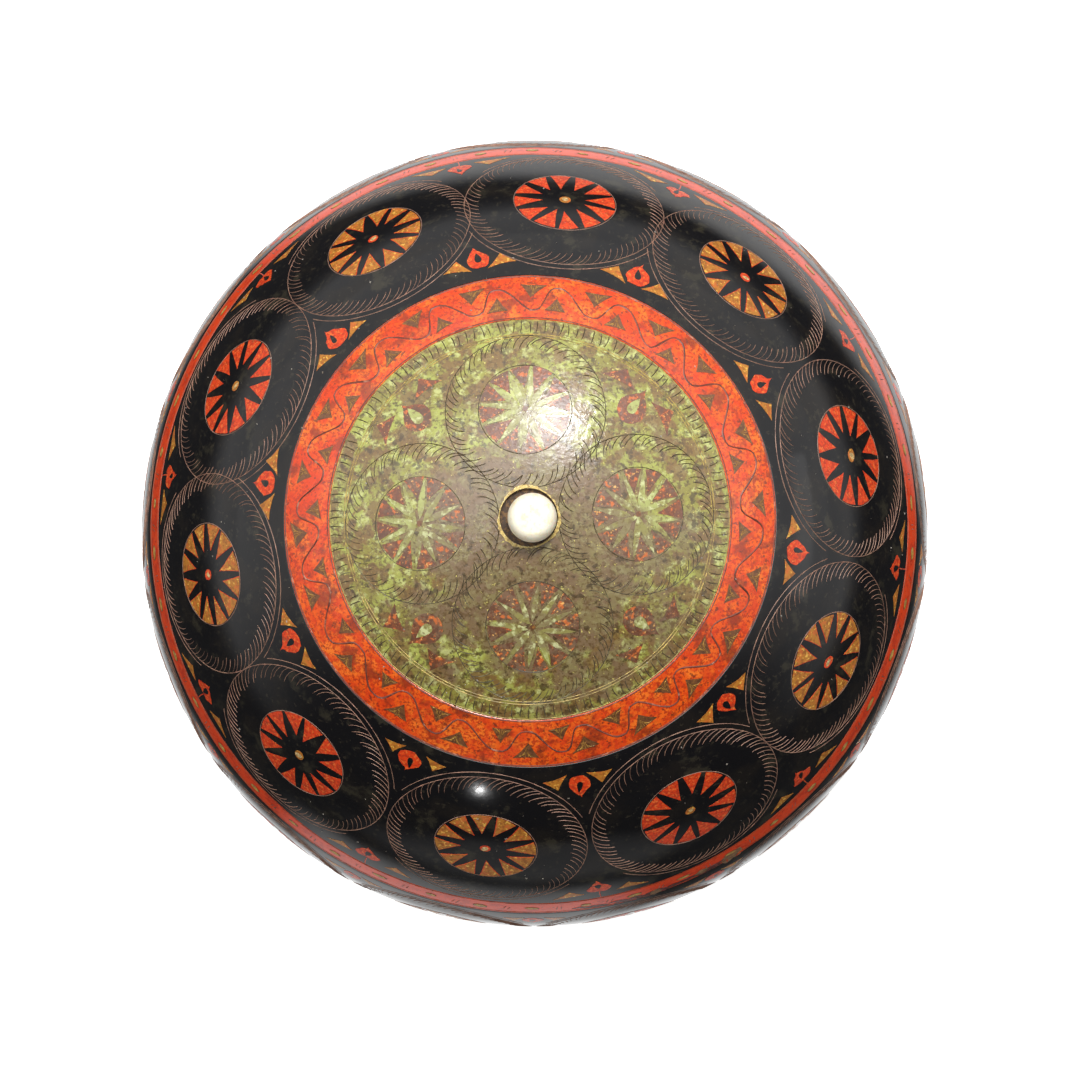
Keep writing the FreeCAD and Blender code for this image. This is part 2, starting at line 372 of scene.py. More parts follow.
def faded_lac():
    """Red inlay of the medallion, worn to a brown and gritty red, darkened round the knob by dirt and
    toward the front right by painted shade.
    """
    return mottled("worn red inlay on the medallion", linear("7A4426"),
                   [("4E3A28", 4 * MM, 0.52, 0.06, 0.8), ("5A3220", 1.4 * MM, 0.50, 0.06, 0.7),
                    ("CC6C34", 1.8 * MM, 0.59, 0.05, 0.85), ("F0B868", 1.1 * MM, 0.64, 0.04, 0.8)],
                   (0.26, 0.38), bump=0.1 * MM, bump_size=1.2 * MM, centre=KNOB_DIRT_AND_PAINTED_SHADE)


def pale_green_lac():
    """Clean green lac, left bright where a tool has scraped the dirt away, darkened round the knob by
    dirt and toward the front right by painted shade.
    """
    return mottled("clean green shellac inlay", linear("A6AA64"),
                   [("8C8648", 5 * MM, 0.52, 0.06, 0.8), ("D4D8A0", 2.4 * MM, 0.58, 0.06, 0.7),
                    ("6E5C34", 1.2 * MM, 0.58, 0.06, 0.8)],
                   (0.26, 0.38), bump=0.08 * MM, bump_size=1.2 * MM, centre=KNOB_DIRT_AND_PAINTED_SHADE)


def pale_scored_lac():
    """Clean groove round the medallion: a thin line of dull yellow ground."""
    return mottled("yellow ground in scored lines", linear("A8904C"),
                   [("6A5A2C", 5 * MM, 0.52, 0.06, 0.8), ("D8B860", 2 * MM, 0.56, 0.05, 0.8)],
                   (0.45, 0.55))


def orange_scored_lac():
    """Groove scored through the orange lac: a thin brown line, darker in patches."""
    return mottled("dirt in lines scored in orange", linear("6E3422"),
                   [("4A2418", 4 * MM, 0.52, 0.06, 0.8), ("C08A70", 3 * MM, 0.62, 0.05, 0.7)],
                   (0.45, 0.55))


def brown_lac():
    """Dark brown ground of the hatched triangles."""
    return mottled("dark brown shellac ground", linear("6E4526"),
                   [("4A2C18", 1.2 * MM, 0.52, 0.05, 0.7), ("A0702E", 0.9 * MM, 0.60, 0.05, 0.6)],
                   (0.3, 0.4))


def yellow_lac():
    """Bright yellow hatching cut into the brown triangles."""
    return mottled("yellow shellac hatching", linear("C79A3E"),
                   [("8A6424", 1.2 * MM, 0.52, 0.05, 0.7), ("F0D070", 0.9 * MM, 0.60, 0.05, 0.8)],
                   (0.3, 0.4))


def turned_wood():
    """Close-grained wood turned on a pole lathe, unfinished: pale brown with drawn-out pores."""
    material = mottled("sheesham wood turned and bare", colours().wood,
                       [("8A6238", 4 * MM, 0.52, 0.08, 0.7), ("C9A26A", 2 * MM, 0.58, 0.06, 0.6),
                        ("5E3F22", 1.2 * MM, 0.64, 0.04, 0.6)],
                       (0.5, 0.62), bump=0.05 * MM, bump_size=0.8 * MM)
    tree = material.node_tree
    along = add(tree, "ShaderNodeMapping", {"Scale": (0.12, 1.0, 1.0)})
    coordinates = tree.nodes["Texture Coordinate"].outputs["Object"]
    for link in list(tree.links):
        if link.from_socket == coordinates:
            target = link.to_socket
            tree.links.new(along.outputs[0], target)
    tree.links.new(coordinates, along.inputs[0])
    return material


def bruised_lac():
    """Red lac crushed and stained along the rim: a dark, dirty crimson."""
    return mottled("bruised red lac", linear("6A2A22"),
                   [("3C1E18", 2 * MM, 0.50, 0.06, 0.8), ("A04038", 1.6 * MM, 0.58, 0.05, 0.7)],
                   (0.25, 0.4), bump=0.08 * MM, bump_size=1.5 * MM)


def chipped_wood():
    """Broken wood where the lac has split off: brown, fibrous and dusty."""
    return mottled("broken wood under lost lac", linear("84603C"),
                   [("5A3E28", 1.0 * MM, 0.50, 0.06, 0.8), ("B98A52", 0.7 * MM, 0.60, 0.05, 0.8)],
                   (0.6, 0.75), bump=0.12 * MM, bump_size=0.7 * MM)


def bone():
    """Cattle bone turned and polished: cream, faintly streaked, with a soft sheen."""
    material = mottled("bone turned and polished", colours().bone,
                       [("E6D3A4", 2.5 * MM, 0.58, 0.08, 0.6), ("D9BF88", 0.7 * MM, 0.66, 0.04, 0.5)],
                       (0.28, 0.38), bump=0.01 * MM, bump_size=0.5 * MM, ior=1.5)
    shader = material.node_tree.nodes["Principled BSDF"]
    shader.inputs["Subsurface Weight"].default_value = 0.15
    shader.inputs["Subsurface Scale"].default_value = 1.5 * MM
    return material


def inside_lac():
    """Plain thin coat brushed inside by hand: dull brownish red."""
    return mottled("red shellac brushed inside", colours().inside,
                   [("5C2014", 12 * MM, 0.52, 0.08, 0.6), ("A0452C", 2 * MM, 0.60, 0.05, 0.5)],
                   (0.35, 0.5), bump=0.03 * MM, bump_size=3 * MM)


def old_dirt():
    """Thin dark brown matt sheet on the wall and floor of the knob's socket."""
    return mottled("dark matt lining of the socket", linear("3A2818"),
                   [("7A5A34", 1.2 * MM, 0.55, 0.05, 0.8)], (0.6, 0.75), bump=0.05 * MM)


def crumbled_edge():
    """Yellowish ground of the lac, bared where the socket's edge has crumbled."""
    return mottled("yellow ground under crumbled lac", linear("CDB266"),
                   [("8A6A34", 1.0 * MM, 0.54, 0.06, 0.75), ("F0E0A0", 0.8 * MM, 0.58, 0.05, 0.8),
                    ("5A4426", 0.9 * MM, 0.64, 0.04, 0.7)], (0.4, 0.55), bump=0.05 * MM)


def pale_heart():
    """Pale fleck of bare varnish in the middle of a dot."""
    return mottled("pale varnish fleck", linear("D8B070"),
                   [("8A7A50", 0.9 * MM, 0.50, 0.06, 0.8), ("F2E2B0", 0.6 * MM, 0.60, 0.05, 0.8)],
                   (0.3, 0.4))


def dust():
    """Dust and rubbed-off lac lying on the gloss: a matt grey brown."""
    return mottled("dust on the gloss", linear("8A8278"),
                   [("C9C2B6", 1 * MM, 0.54, 0.05, 0.8), ("6A5A48", 2 * MM, 0.58, 0.05, 0.7)],
                   (0.7, 0.85))


MADE = {}


def linked(name, data):
    """New object in the scene."""
    made = bpy.data.objects.new(name, data)
    bpy.context.scene.collection.objects.link(made)
    return made


def once(make):
    """What a function makes, a material or a node tree, made only once."""
    if make not in MADE:
        MADE[make] = make()
    return MADE[make]


# ---------------------------------------------------------------- meshes

SHARP = math.radians(35)          # edges sharper than this stay crisp
INLAY_ROOT = -0.34 * MM           # heights under the outline where slabs and ridges end, in the lac
STROKE_ROOT = -0.3 * MM


def solid(build):
    """Mesh from a function that fills a bmesh, with its faces turned outwards."""
    shape = bmesh.new()
    build(shape)
    bmesh.ops.recalc_face_normals(shape, faces=shape.faces)
    mesh = bpy.data.meshes.new(build.__name__)
    shape.to_mesh(mesh)
    shape.free()
    return mesh


def turned(profile, segments, centre=(0.0, 0.0)):
    """Closed solid turned about Z from a closed loop of (radius, height) points."""
    def turned_solid(shape):
        rings = []
        for radius, height in profile:
            around = segments if radius > 0 else 1
            angles = [2 * math.pi * i / around for i in range(around)]
            rings.append([shape.verts.new((centre[0] + radius * math.cos(angle),
                                           centre[1] + radius * math.sin(angle), height))
                          for angle in angles])
        for ring, following in zip(rings, rings[1:] + rings[:1]):
            for i in range(segments):
                corners = [ring[i % len(ring)], ring[(i + 1) % len(ring)],
                           following[(i + 1) % len(following)], following[i % len(following)]]
                corners = list(dict.fromkeys(corners))
                if len(corners) > 2:
                    shape.faces.new(corners)
    return solid(turned_solid)


def split(a, b, step):
    """Even values from a to b, no more than a step apart."""
    steps = max(1, math.ceil(abs(b - a) / step))
    return [a + (b - a) * i / steps for i in range(steps + 1)]


def piece(name, mesh, make, body, slot, *nodes):
    """Names a finished mesh, gives it its material and hangs it on its body."""
    mesh.name = name
    mesh.materials.clear()
    mesh.materials.append(once(make))
    mesh.shade_smooth()
    mesh.set_sharp_from_angle(angle=SHARP)
    made = linked(name, mesh)
    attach(made, body)
    if nodes:
        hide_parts(*nodes)
    return made


def inlay(outlines, spacing=1.5 * MM, top=-0.13 * MM):
    """Flat drawing of filled shapes, as one mesh of thin slabs with enough points to bend.

    Each outline is a closed list of (x, y)."""
    def inlay_slabs(shape):
        for outline in outlines:
            edge = []
            for first, second in zip(outline, outline[1:] + outline[:1]):
                first, second = Vector(first), Vector(second)
                steps = max(1, math.ceil((second - first).length / spacing))
                edge += [first.lerp(second, i / steps) for i in range(steps)]
            low = [min(point[i] for point in edge) for i in (0, 1)]
            high = [max(point[i] for point in edge) for i in (0, 1)]
            points = list(edge)
            for x in split(low[0] + spacing / 2, high[0], spacing):
                for y in split(low[1] + spacing / 2, high[1], spacing):
                    if min((Vector((x, y)) - point).length for point in edge) > spacing / 2:
                        points.append(Vector((x, y)))
            ring = list(range(len(edge)))
            flat, _, faces, *_ = delaunay_2d_cdt(points, [], [ring], 1, 1e-7)
            used = sorted({corner for face in faces for corner in face})
            upper = {i: shape.verts.new((flat[i].x, flat[i].y, top)) for i in used}
            lower = {i: shape.verts.new((flat[i].x, flat[i].y, INLAY_ROOT)) for i in used}
            sides = {}
            for face in faces:
                shape.faces.new([upper[i] for i in face])
                shape.faces.new([lower[i] for i in reversed(face)])
                for a, b in zip(face, face[1:] + face[:1]):
                    sides[a, b] = sides.get((a, b), 0) + 1
            for a, b in sides:
                if (b, a) not in sides:
                    shape.faces.new([upper[b], upper[a], lower[a], lower[b]])
    return solid(inlay_slabs)


def inlay_ring(outline, hole):
    """Flat ring between two closed outlines with as many points, as a thin slab."""
    top = -0.1 * MM

    def inlay_band(shape):
        loops = [[shape.verts.new((x, y, z)) for x, y in points]
                 for points, z in ((outline, top), (outline, INLAY_ROOT), (hole, INLAY_ROOT),
                                   (hole, top))]
        for loop, following in zip(loops, loops[1:] + loops[:1]):
            for i in range(len(loop)):
                j = (i + 1) % len(loop)
                shape.faces.new([loop[i], loop[j], following[j], following[i]])
    return solid(inlay_band)


def strokes(paths, top=-0.07 * MM):
    """Short tapered ridges of triangular section, each along flat (x, y, width) points."""
    def stroke_ridges(shape):
        for path in paths:
            rows = []
            for i, (x, y, width) in enumerate(path):
                ahead = Vector(path[min(i + 1, len(path) - 1)]) - Vector(path[max(i - 1, 0)])
                side = Vector((-ahead.y, ahead.x)).normalized() * width / 2
                rows.append([shape.verts.new((x + side.x, y + side.y, STROKE_ROOT)),
                             shape.verts.new((x, y, top)),
                             shape.verts.new((x - side.x, y - side.y, STROKE_ROOT))])
            for row, following in zip(rows, rows[1:]):
                for i in range(3):
                    j = (i + 1) % 3
                    shape.faces.new([row[i], row[j], following[j], following[i]])
            shape.faces.new(rows[0][::-1])
            shape.faces.new(rows[-1])
    return solid(stroke_ridges)


def polar(radius, turn):
    """Flat point at a radius, turned counterclockwise from +Y."""
    return (-radius * math.sin(turn), radius * math.cos(turn))


def bowed(first, second, bow, steps=4):
    """Flat points from first up to, not with, second, bowed to the left by a share of the span."""
    first, second = Vector(first), Vector(second)
    side = Vector((first.y - second.y, second.x - first.x))
    return [tuple(first.lerp(second, i / steps) + side * bow * 4 * (i / steps) * (1 - i / steps))
            for i in range(steps)]


def bowed_shape(corners, bows, scale=1.0):
    """Closed outline through corners in millimetres, each side with its own bow."""
    corners = [(x * MM * scale, y * MM * scale) for x, y in corners]
    outline = []
    for first, second, bow in zip(corners, corners[1:] + corners[:1], bows):
        outline += bowed(first, second, bow)
    return outline


# ---------------------------------------------------------------- geometry nodes

def socket(tree, name, kind, default=None):
    made = tree.interface.new_socket(name=name, in_out="INPUT", socket_type="NodeSocket" + kind)
    if default is not None:
        made.default_value = default


def new_tree(name):
    tree = bpy.data.node_groups.new(name, "GeometryNodeTree")
    tree.interface.new_socket(name="Geometry", in_out="OUTPUT", socket_type="NodeSocketGeometry")
    socket(tree, "Geometry", "Geometry")
    socket(tree, "Outline", "Object")
    return tree


def wrap_group():
    """Group that lays a flat drawing on the globe: arcs from the drawing's centre keep their
    length and direction, and the drawing's Z becomes height over the outline."""
    tree = new_tree("wrap on globe")
    socket(tree, "Globe Radius", "Float", GLOBE)
    given = add(tree, "NodeGroupInput").outputs

    def tipped(a, name, axis):
        angle = add(tree, "GeometryNodeInputNamedAttribute", {"Name": name}, data_type="FLOAT")
        back = maths(tree, "MULTIPLY", angle.outputs[0], -1.0)
        return add(tree, "ShaderNodeVectorRotate", {"Vector": a, "Angle": back},
                   rotation_type=axis).outputs[0]

    drawn = add(tree, "GeometryNodeInputPosition").outputs[0]
    height = parts(tree, drawn)[2]
    flat = vector(tree, "MULTIPLY", drawn, (1, 1, 0))[0]
    angle = maths(tree, "DIVIDE", vector(tree, "LENGTH", flat)[1], given["Globe Radius"])
    level = scaled(tree, vector(tree, "NORMALIZE", flat)[0], maths(tree, "SINE", angle))
    ball = vector(tree, "ADD", level, upright(tree, maths(tree, "COSINE", angle)))[0]
    ball = tipped(tipped(ball, "lean", "X_AXIS"), "azimuth", "Z_AXIS")
    arc = maths(tree, "MULTIPLY", maths(tree, "ARCCOSINE", parts(tree, ball)[2]),
                given["Globe Radius"])
    outline = add(tree, "GeometryNodeObjectInfo", {"Object": given["Outline"]})
    curve = add(tree, "GeometryNodeMeshToCurve", {0: outline.outputs["Geometry"]})
    sample = add(tree, "GeometryNodeSampleCurve", {"Curves": curve.outputs[0], "Length": arc},
                 mode="LENGTH")
    place = parts(tree, sample.outputs["Position"])
    along = parts(tree, sample.outputs["Tangent"])
    radius = maths(tree, "SUBTRACT", place[0], maths(tree, "MULTIPLY", height, along[2]))
    rise = maths(tree, "ADD", place[2], maths(tree, "MULTIPLY", height, along[0]))
    side = vector(tree, "NORMALIZE", vector(tree, "MULTIPLY", ball, (1, 1, 0))[0])[0]
    final = vector(tree, "ADD", scaled(tree, side, radius), upright(tree, rise))[0]
    moved = add(tree, "GeometryNodeSetPosition", {0: given["Geometry"], "Position": final})
    add(tree, "NodeGroupOutput", {0: moved.outputs[0]})
    return tree


def laid_on_globe(tree, geometry, given):
    """Ends a tree: wraps what it has drawn and makes it real, with its material."""
    laid = add(tree, "GeometryNodeGroup", node_tree=once(wrap_group))
    tree.links.new(geometry, laid.inputs["Geometry"])
    tree.links.new(given["Outline"], laid.inputs["Outline"])
    real = add(tree, "GeometryNodeRealizeInstances", {0: laid.outputs[0]})
    done = add(tree, "GeometryNodeSetMaterial", {0: real.outputs[0], "Material": given["Material"]})
    add(tree, "NodeGroupOutput", {0: done.outputs[0]})


def hand_drift(tree, variant, size, amount):
    """Offset of flat points by noise of a size, about `amount` each way."""
    noise = add(tree, "ShaderNodeTexNoise", {"W": variant, "Scale": 1 / size},
                noise_dimensions="4D")
    drift = vector(tree, "SUBTRACT", noise.outputs["Color"], (0.5, 0.5, 0.5))[0]
    return scaled(tree, vector(tree, "MULTIPLY", drift, (4, 4, 0))[0], amount)


def stamp_tree():
    """Tree that sets a stamp on every anchor point, with a hand's small errors."""
    tree = new_tree("stamps on globe")
    socket(tree, "Stamp", "Object")
    socket(tree, "Turn Error", "Float", 0.0)
    socket(tree, "Size Error", "Float", 0.0)
    socket(tree, "Place Error", "Float", 0.0)
    socket(tree, "Ragged", "Float", 0.0)
    socket(tree, "Seed", "Int", 0)
    socket(tree, "Material", "Material")
    given = add(tree, "NodeGroupInput").outputs

    def error(amount, keep):
        most = scaled(tree, keep, amount)
        least = scaled(tree, most, -1.0)
        return add(tree, "FunctionNodeRandomValue", {0: least, 1: most, "Seed": given["Seed"]},
                   data_type="FLOAT_VECTOR").outputs[0]

    shifted = add(tree, "GeometryNodeSetPosition",
                  {0: given["Geometry"], "Offset": error(given["Place Error"], (1, 1, 0))})
    turn = add(tree, "GeometryNodeInputNamedAttribute", {"Name": "turn"}, data_type="FLOAT")
    about = upright(tree, turn.outputs[0])
    about = vector(tree, "ADD", about, error(given["Turn Error"], (0, 0, 1)))[0]
    size = add(tree, "GeometryNodeInputNamedAttribute", {"Name": "size"}, data_type="FLOAT")
    near_one = vector(tree, "ADD", error(given["Size Error"], (1, 1, 0)), (1, 1, 1))[0]
    grown = scaled(tree, near_one, size.outputs[0])
    stamp = add(tree, "GeometryNodeObjectInfo", {"Object": given["Stamp"]})
    placed = add(tree, "GeometryNodeInstanceOnPoints",
                 {"Points": shifted.outputs[0], "Instance": stamp.outputs["Geometry"],
                  "Rotation": about, "Scale": grown})
    real = add(tree, "GeometryNodeRealizeInstances", {0: placed.outputs[0]})
    turn = add(tree, "GeometryNodeInputNamedAttribute", {"Name": "azimuth"}, data_type="FLOAT")
    variant = maths(tree, "MULTIPLY", turn.outputs[0], 9.0)
    drift = hand_drift(tree, variant, 2.4 * MM, given["Ragged"])
    ragged = add(tree, "GeometryNodeSetPosition", {0: real.outputs[0], "Offset": drift})
    laid_on_globe(tree, ragged.outputs[0], given)
    return tree


def score_tree():
    """Tree that turns drawn lines into scored ones: low ridges of uneven width."""
    tree = new_tree("scored lines on globe")
    socket(tree, "Width", "Float", 0.4 * MM)
    socket(tree, "Top", "Float", -0.09 * MM)
    socket(tree, "Spacing", "Float", 1.6 * MM)
    socket(tree, "Waver", "Float", 0.1 * MM)
    socket(tree, "Seed", "Int", 0)
    socket(tree, "Material", "Material")
    given = add(tree, "NodeGroupInput").outputs
    curve = add(tree, "GeometryNodeMeshToCurve", {0: given["Geometry"]})
    even = add(tree, "GeometryNodeResampleCurve",
               {"Curve": curve.outputs[0], "Length": given["Spacing"]}, mode="LENGTH")
    drift = hand_drift(tree, given["Seed"], 16 * MM, given["Waver"])
    wavered = add(tree, "GeometryNodeSetPosition", {0: even.outputs[0], "Offset": drift})
    flat = add(tree, "GeometryNodeSetCurveNormal", {0: wavered.outputs[0]}, mode="Z_UP")
    press = add(tree, "ShaderNodeTexNoise", {"W": given["Seed"], "Scale": 1 / (4 * MM)},
                noise_dimensions="4D")
    press = add(tree, "ShaderNodeMapRange", {"Value": press.outputs["Fac"], "From Min": 0.3,
                                             "From Max": 0.7, "To Min": 0.6, "To Max": 1.3})
    depth = 0.3 * MM
    profile = add(tree, "GeometryNodeCurvePrimitiveQuadrilateral",
                  {"Width": given["Width"], "Bottom Height": depth / 2, "Top Height": depth / 2},
                  mode="KITE")
    tube = add(tree, "GeometryNodeCurveToMesh",
               {"Curve": flat.outputs[0], "Profile Curve": profile.outputs[0],
                "Scale": press.outputs[0], "Fill Caps": True})
    down = upright(tree, maths(tree, "SUBTRACT", given["Top"], depth / 2))
    sunk = add(tree, "GeometryNodeSetPosition", {0: tube.outputs[0], "Offset": down})
    laid_on_globe(tree, sunk.outputs[0], given)
    return tree


def outline_object():
    """The globe's outline as a wire that the wrap reads, from the crown down."""
    mesh = bpy.data.meshes.new("globe_outline")
    mesh.from_pydata([point for _, point in OUTLINE],
                     [(i, i + 1) for i in range(len(OUTLINE) - 1)], [])
    return linked("globe_outline", mesh)


def baked(points, edges, attributes, make_tree, **inputs):
    """Runs a tree on flat points and gives the finished mesh."""
    drawing = bpy.data.meshes.new("drawing")
    drawing.from_pydata([(x, y, 0.0) for x, y in points], edges, [])
    for key, values in attributes.items():
        drawing.attributes.new(key, "FLOAT", "POINT").data.foreach_set("value", values)
    source = linked("drawing", drawing)
    modifier = source.modifiers.new("lay", "NODES")
    tree = once(make_tree)
    modifier.node_group = tree
    inputs["Outline"] = once(outline_object)
    for item in tree.interface.items_tree:
        if item.in_out == "INPUT" and item.name.replace(" ", "_") in inputs:
            modifier[item.identifier] = inputs[item.name.replace(" ", "_")]
    graph = bpy.context.evaluated_depsgraph_get()
    mesh = bpy.data.meshes.new_from_object(source.evaluated_get(graph))
    source.modifiers.remove(modifier)
    bpy.data.objects.remove(source)
    bpy.data.meshes.remove(drawing)
    for key in ("lean", "azimuth", "turn", "size"):
        if key in mesh.attributes:
            mesh.attributes.remove(mesh.attributes[key])
    return mesh


def stamped(mesh, anchors, make, turn_error=0.0, size_error=0.0, place_error=0.0,
            ragged=0.1 * MM, seed=1):
    """Mesh of one stamp laid on many anchors, each (x, y, turn, arc, azimuth, size)."""
    stamp = linked("stamp", mesh)
    columns = list(zip(*anchors))
    attributes = {"turn": columns[2], "lean": [arc / GLOBE for arc in columns[3]],
                  "azimuth": columns[4], "size": columns[5]}
    laid = baked(list(zip(columns[0], columns[1])), [], attributes, stamp_tree, Stamp=stamp,
                 Turn_Error=turn_error, Size_Error=size_error, Place_Error=place_error,
                 Ragged=ragged, Seed=seed, Material=once(make))
    bpy.data.objects.remove(stamp)
    bpy.data.meshes.remove(mesh)
    return laid


def at(arc, azimuth, size=1.0, turn=0.0):
    """Anchor of a stamp set squarely on the globe."""
    return (0.0, 0.0, turn, arc, azimuth, size)


def stamps(name, mesh, anchors, make, body, slot, **errors):
    """Piece made of stamps."""
    return piece(name, stamped(mesh, anchors, make, **errors), make, body, slot)


def scored(name, lines, make, body, slot, width, top=-0.09 * MM, waver=0.1 * MM, seed=1):
    """Piece made of scored lines, each (flat points, closed, arc, azimuth)."""
    points, edges, leans, azimuths = [], [], [], []
    for flat, closed, arc, azimuth in lines:
        start = len(points)
        points += flat
        edges += [(start + i, start + i + 1) for i in range(len(flat) - 1)]
        if closed:
            edges.append((start + len(flat) - 1, start))
        leans += [arc / GLOBE] * len(flat)
        azimuths += [azimuth] * len(flat)
    laid = baked(points, edges, {"lean": leans, "azimuth": azimuths}, score_tree, Width=width,
                 Top=top, Waver=waver, Seed=seed, Material=once(make))
    return piece(name, laid, make, body, slot)


def circle(radius, step=1.6 * MM):
    """Flat points round a circle."""
    around = math.ceil(2 * math.pi * radius / step)
    return [polar(radius, 2 * math.pi * i / around) for i in range(around)]


def parallel(arc):
    """Scored line all round the globe at an arc from the crown."""
    return (circle(arc, 3 * MM), True, 0.0, 0.0)


def ring_of(radius, many, phase=0.0):
    """Flat (x, y, turn) round a circle, each turned to look outwards."""
    turns = [2 * math.pi * (i + phase) / many for i in range(many)]
    return [(*polar(radius, turn), turn) for turn in turns]


# ---------------------------------------------------------------- coats

FINE = 1.5 * MM                   # steps along the face of a coat
COARSE = 6 * MM                   # and along its hidden back
AROUND = 360                      # points round a turned coat
BEVEL = 0.12 * MM                 # at both edges of a coat
CLEAR = 0.02 * MM                 # between an edge and the next coat's


def coat(name, start, end, make, body, slot, *nodes, flat_start=None, flat_end=None):
    """Band of lac between two arcs. A flat end is cut level at a height, as the rims are."""
    start += CLEAR
    end -= CLEAR
    face = [(start, COAT_INSET + BEVEL)]
    face += [(arc, COAT_INSET) for arc in split(start + BEVEL, end - BEVEL, FINE)]
    face += [(end, COAT_INSET + BEVEL)]
    back = [(arc, COAT_DEPTH) for arc in split(end, start, COARSE)]
    profile = []
    for arc, inset in face + back:
        point = on_outline(arc, inset)
        if flat_start is not None and arc == start:
            point.z = flat_start
        if flat_end is not None and arc == end:
            point.z = flat_end
        profile.append((point.x, point.z))
    return piece(name, turned(profile, AROUND), make, body, slot, *nodes)


def socket_radius():
    """Radius of the knob's socket in the lid."""
    return min(v.co.xy.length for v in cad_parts["lid_green_lac"].data.vertices)


class MAKE_OT_lac_coats(bpy.types.Operator):
    """Lay the bands of lac on the lid and the bowl"""
    bl_idname = "lac_bowl.coats"
    bl_label = "Lac coats"

    def execute(self, context):
        coat("lid_green_coat", socket_radius() + 0.05 * MM, ARC["green"], green_lac, "lid",
             "green_lac", "lid_green_lac")
        coat("lid_orange_coat", ARC["green"], ARC["orange"], orange_lac, "lid", "orange_lac",
             "lid_orange_lac")
        coat("lid_black_coat", ARC["orange"], ARC["red"], black_lac, "lid", "black_lac",
             "lid_black_lac")
        coat("lid_red_coat", ARC["red"], ARC["lid"], red_lac, "lid", "red_lac", "lid_red_lac",
             flat_end=LID_RIM)
        coat("bowl_black_coat", ARC["bowl"], ARC["bowl_black"], black_lac, "bowl", "black_lac",
             "bowl_black_lac", flat_start=BOWL_RIM)
        coat("bowl_orange_coat", ARC["bowl_black"], ARC["bowl_orange"], orange_lac, "bowl",
             "orange_lac", "bowl_orange_lac")
        coat("bowl_green_coat", ARC["bowl_orange"], ARC["foot"], green_lac, "bowl", "green_lac",
             "bowl_green_lac")
        low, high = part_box("bowl_foot_lac")
        face = FOOT_RADIUS - COAT_INSET
        back = FOOT_RADIUS - COAT_DEPTH
        bevel = 0.3 * MM
        shoulder = on_outline(ARC["foot"], COAT_INSET).z
        profile = [(back, low.z), (face - bevel, low.z), (face, low.z + bevel), (face, shoulder),
                   (back, high.z)]
        piece("bowl_foot_coat", turned(profile, AROUND), black_lac, "bowl", "black_lac",
              "bowl_foot_lac")
        return {"FINISHED"}


class MAKE_OT_wood(bpy.types.Operator):
    """Finish the turned wood and the plain coats inside"""
    bl_idname = "lac_bowl.wood"
    bl_label = "Turned wood and inside"

    def execute(self, context):
        for make, nodes in ((turned_wood, ("bowl_core", "lid_core", "knob_collar")),
                            (inside_lac, ("bowl_inside_lac", "lid_inside_lac"))):
            for node in nodes:
                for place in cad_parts[node].material_slots:
                    place.material = once(make)
        return {"FINISHED"}


KNOB_HEIGHT = 11.0 * MM           # from its foot to its top
KNOB_BELLY = 6.3 * MM             # from its foot to its widest part
KNOB_TOP_RADIUS = 4.6 * MM
KNOB_FOOT_RADIUS = 6.4 * MM
KNOB_EDGE_RADIUS = 6.2 * MM       # where the flat under the foot ends
STEM_RADIUS = 3.0 * MM


class MAKE_OT_knob(bpy.types.Operator):
    """Turn the bone knob with its stem"""
    bl_idname = "lac_bowl.knob"
    bl_label = "Bone knob"

    def execute(self, context):
        low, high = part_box("knob")
        centre = (low + high) / 2
        inset = 0.05 * MM
        radius = (high.x - low.x) / 2 - inset
        stem = STEM_RADIUS - inset
        foot = high.z - KNOB_HEIGHT
        belly = foot + KNOB_BELLY
        profile = [(0, low.z + inset), (stem, low.z + inset), (stem, foot + inset),
                   (KNOB_EDGE_RADIUS, foot + inset)]
        for degrees in range(-60, 91, 6):
            angle = math.radians(degrees)
            if degrees > 0:
                rise, core = high.z - inset - belly, KNOB_TOP_RADIUS
            else:
                rise, core = belly - foot - inset, KNOB_FOOT_RADIUS
            profile.append((core + (radius - core) * math.cos(angle), belly + rise * math.sin(angle)))
        profile += [(0.6 * KNOB_TOP_RADIUS, high.z - 0.03 * MM), (0, high.z - 0.02 * MM)]
        piece("bone_knob", turned(profile, 128, (centre.x, centre.y)), bone, "knob", "bone", "knob")
        self.socket(foot)
        return {"FINISHED"}

    def socket(self, foot):
        """Dark brown sheet on the socket's wall and floor, and the ring where the lac has crumbled
        from its edge.
        """
        wall = socket_radius() - 0.06 * MM
        floor = foot - 0.24 * MM
        thin = 0.1 * MM
        inside = 4.6 * MM
        edge = on_outline(wall, 0.25 * MM).z
        profile = [(inside, floor - thin / 2), (wall, floor - thin / 2), (wall, edge),
                   (wall - thin, edge), (wall - thin, floor + thin / 2), (inside, floor + thin / 2)]
        # A thin dark sheet lines the gap round the knob's stem.
        piece("socket_dirt", turned(profile, 180), old_dirt, "lid", "black_lac")
        chance = random.Random(5)
        ragged = []
        for i in range(72):
            turn = 2 * math.pi * i / 72
            reach = wall + (0.75 + 0.35 * math.sin(3 * turn + 1) + chance.uniform(-0.25, 0.25)) * MM
            ragged.append(polar(reach, turn))
        hole = [polar(wall + 0.05 * MM, 2 * math.pi * i / 72) for i in range(72)]
        ring = inlay_ring(ragged, hole)
        crumbled = stamped(ring, [at(0.0, 0.0)], crumbled_edge, ragged=0.0)
        piece("socket_edge", crumbled, crumbled_edge, "lid", "wood")


# ---------------------------------------------------------------- ornament

# Roundels were set out round the lid by eye: their azimuths in degrees, red and gold in turn.
LID_ROUNDELS = (6, 41, 78, 115, 151, 188, 225, 261, 295, 331)


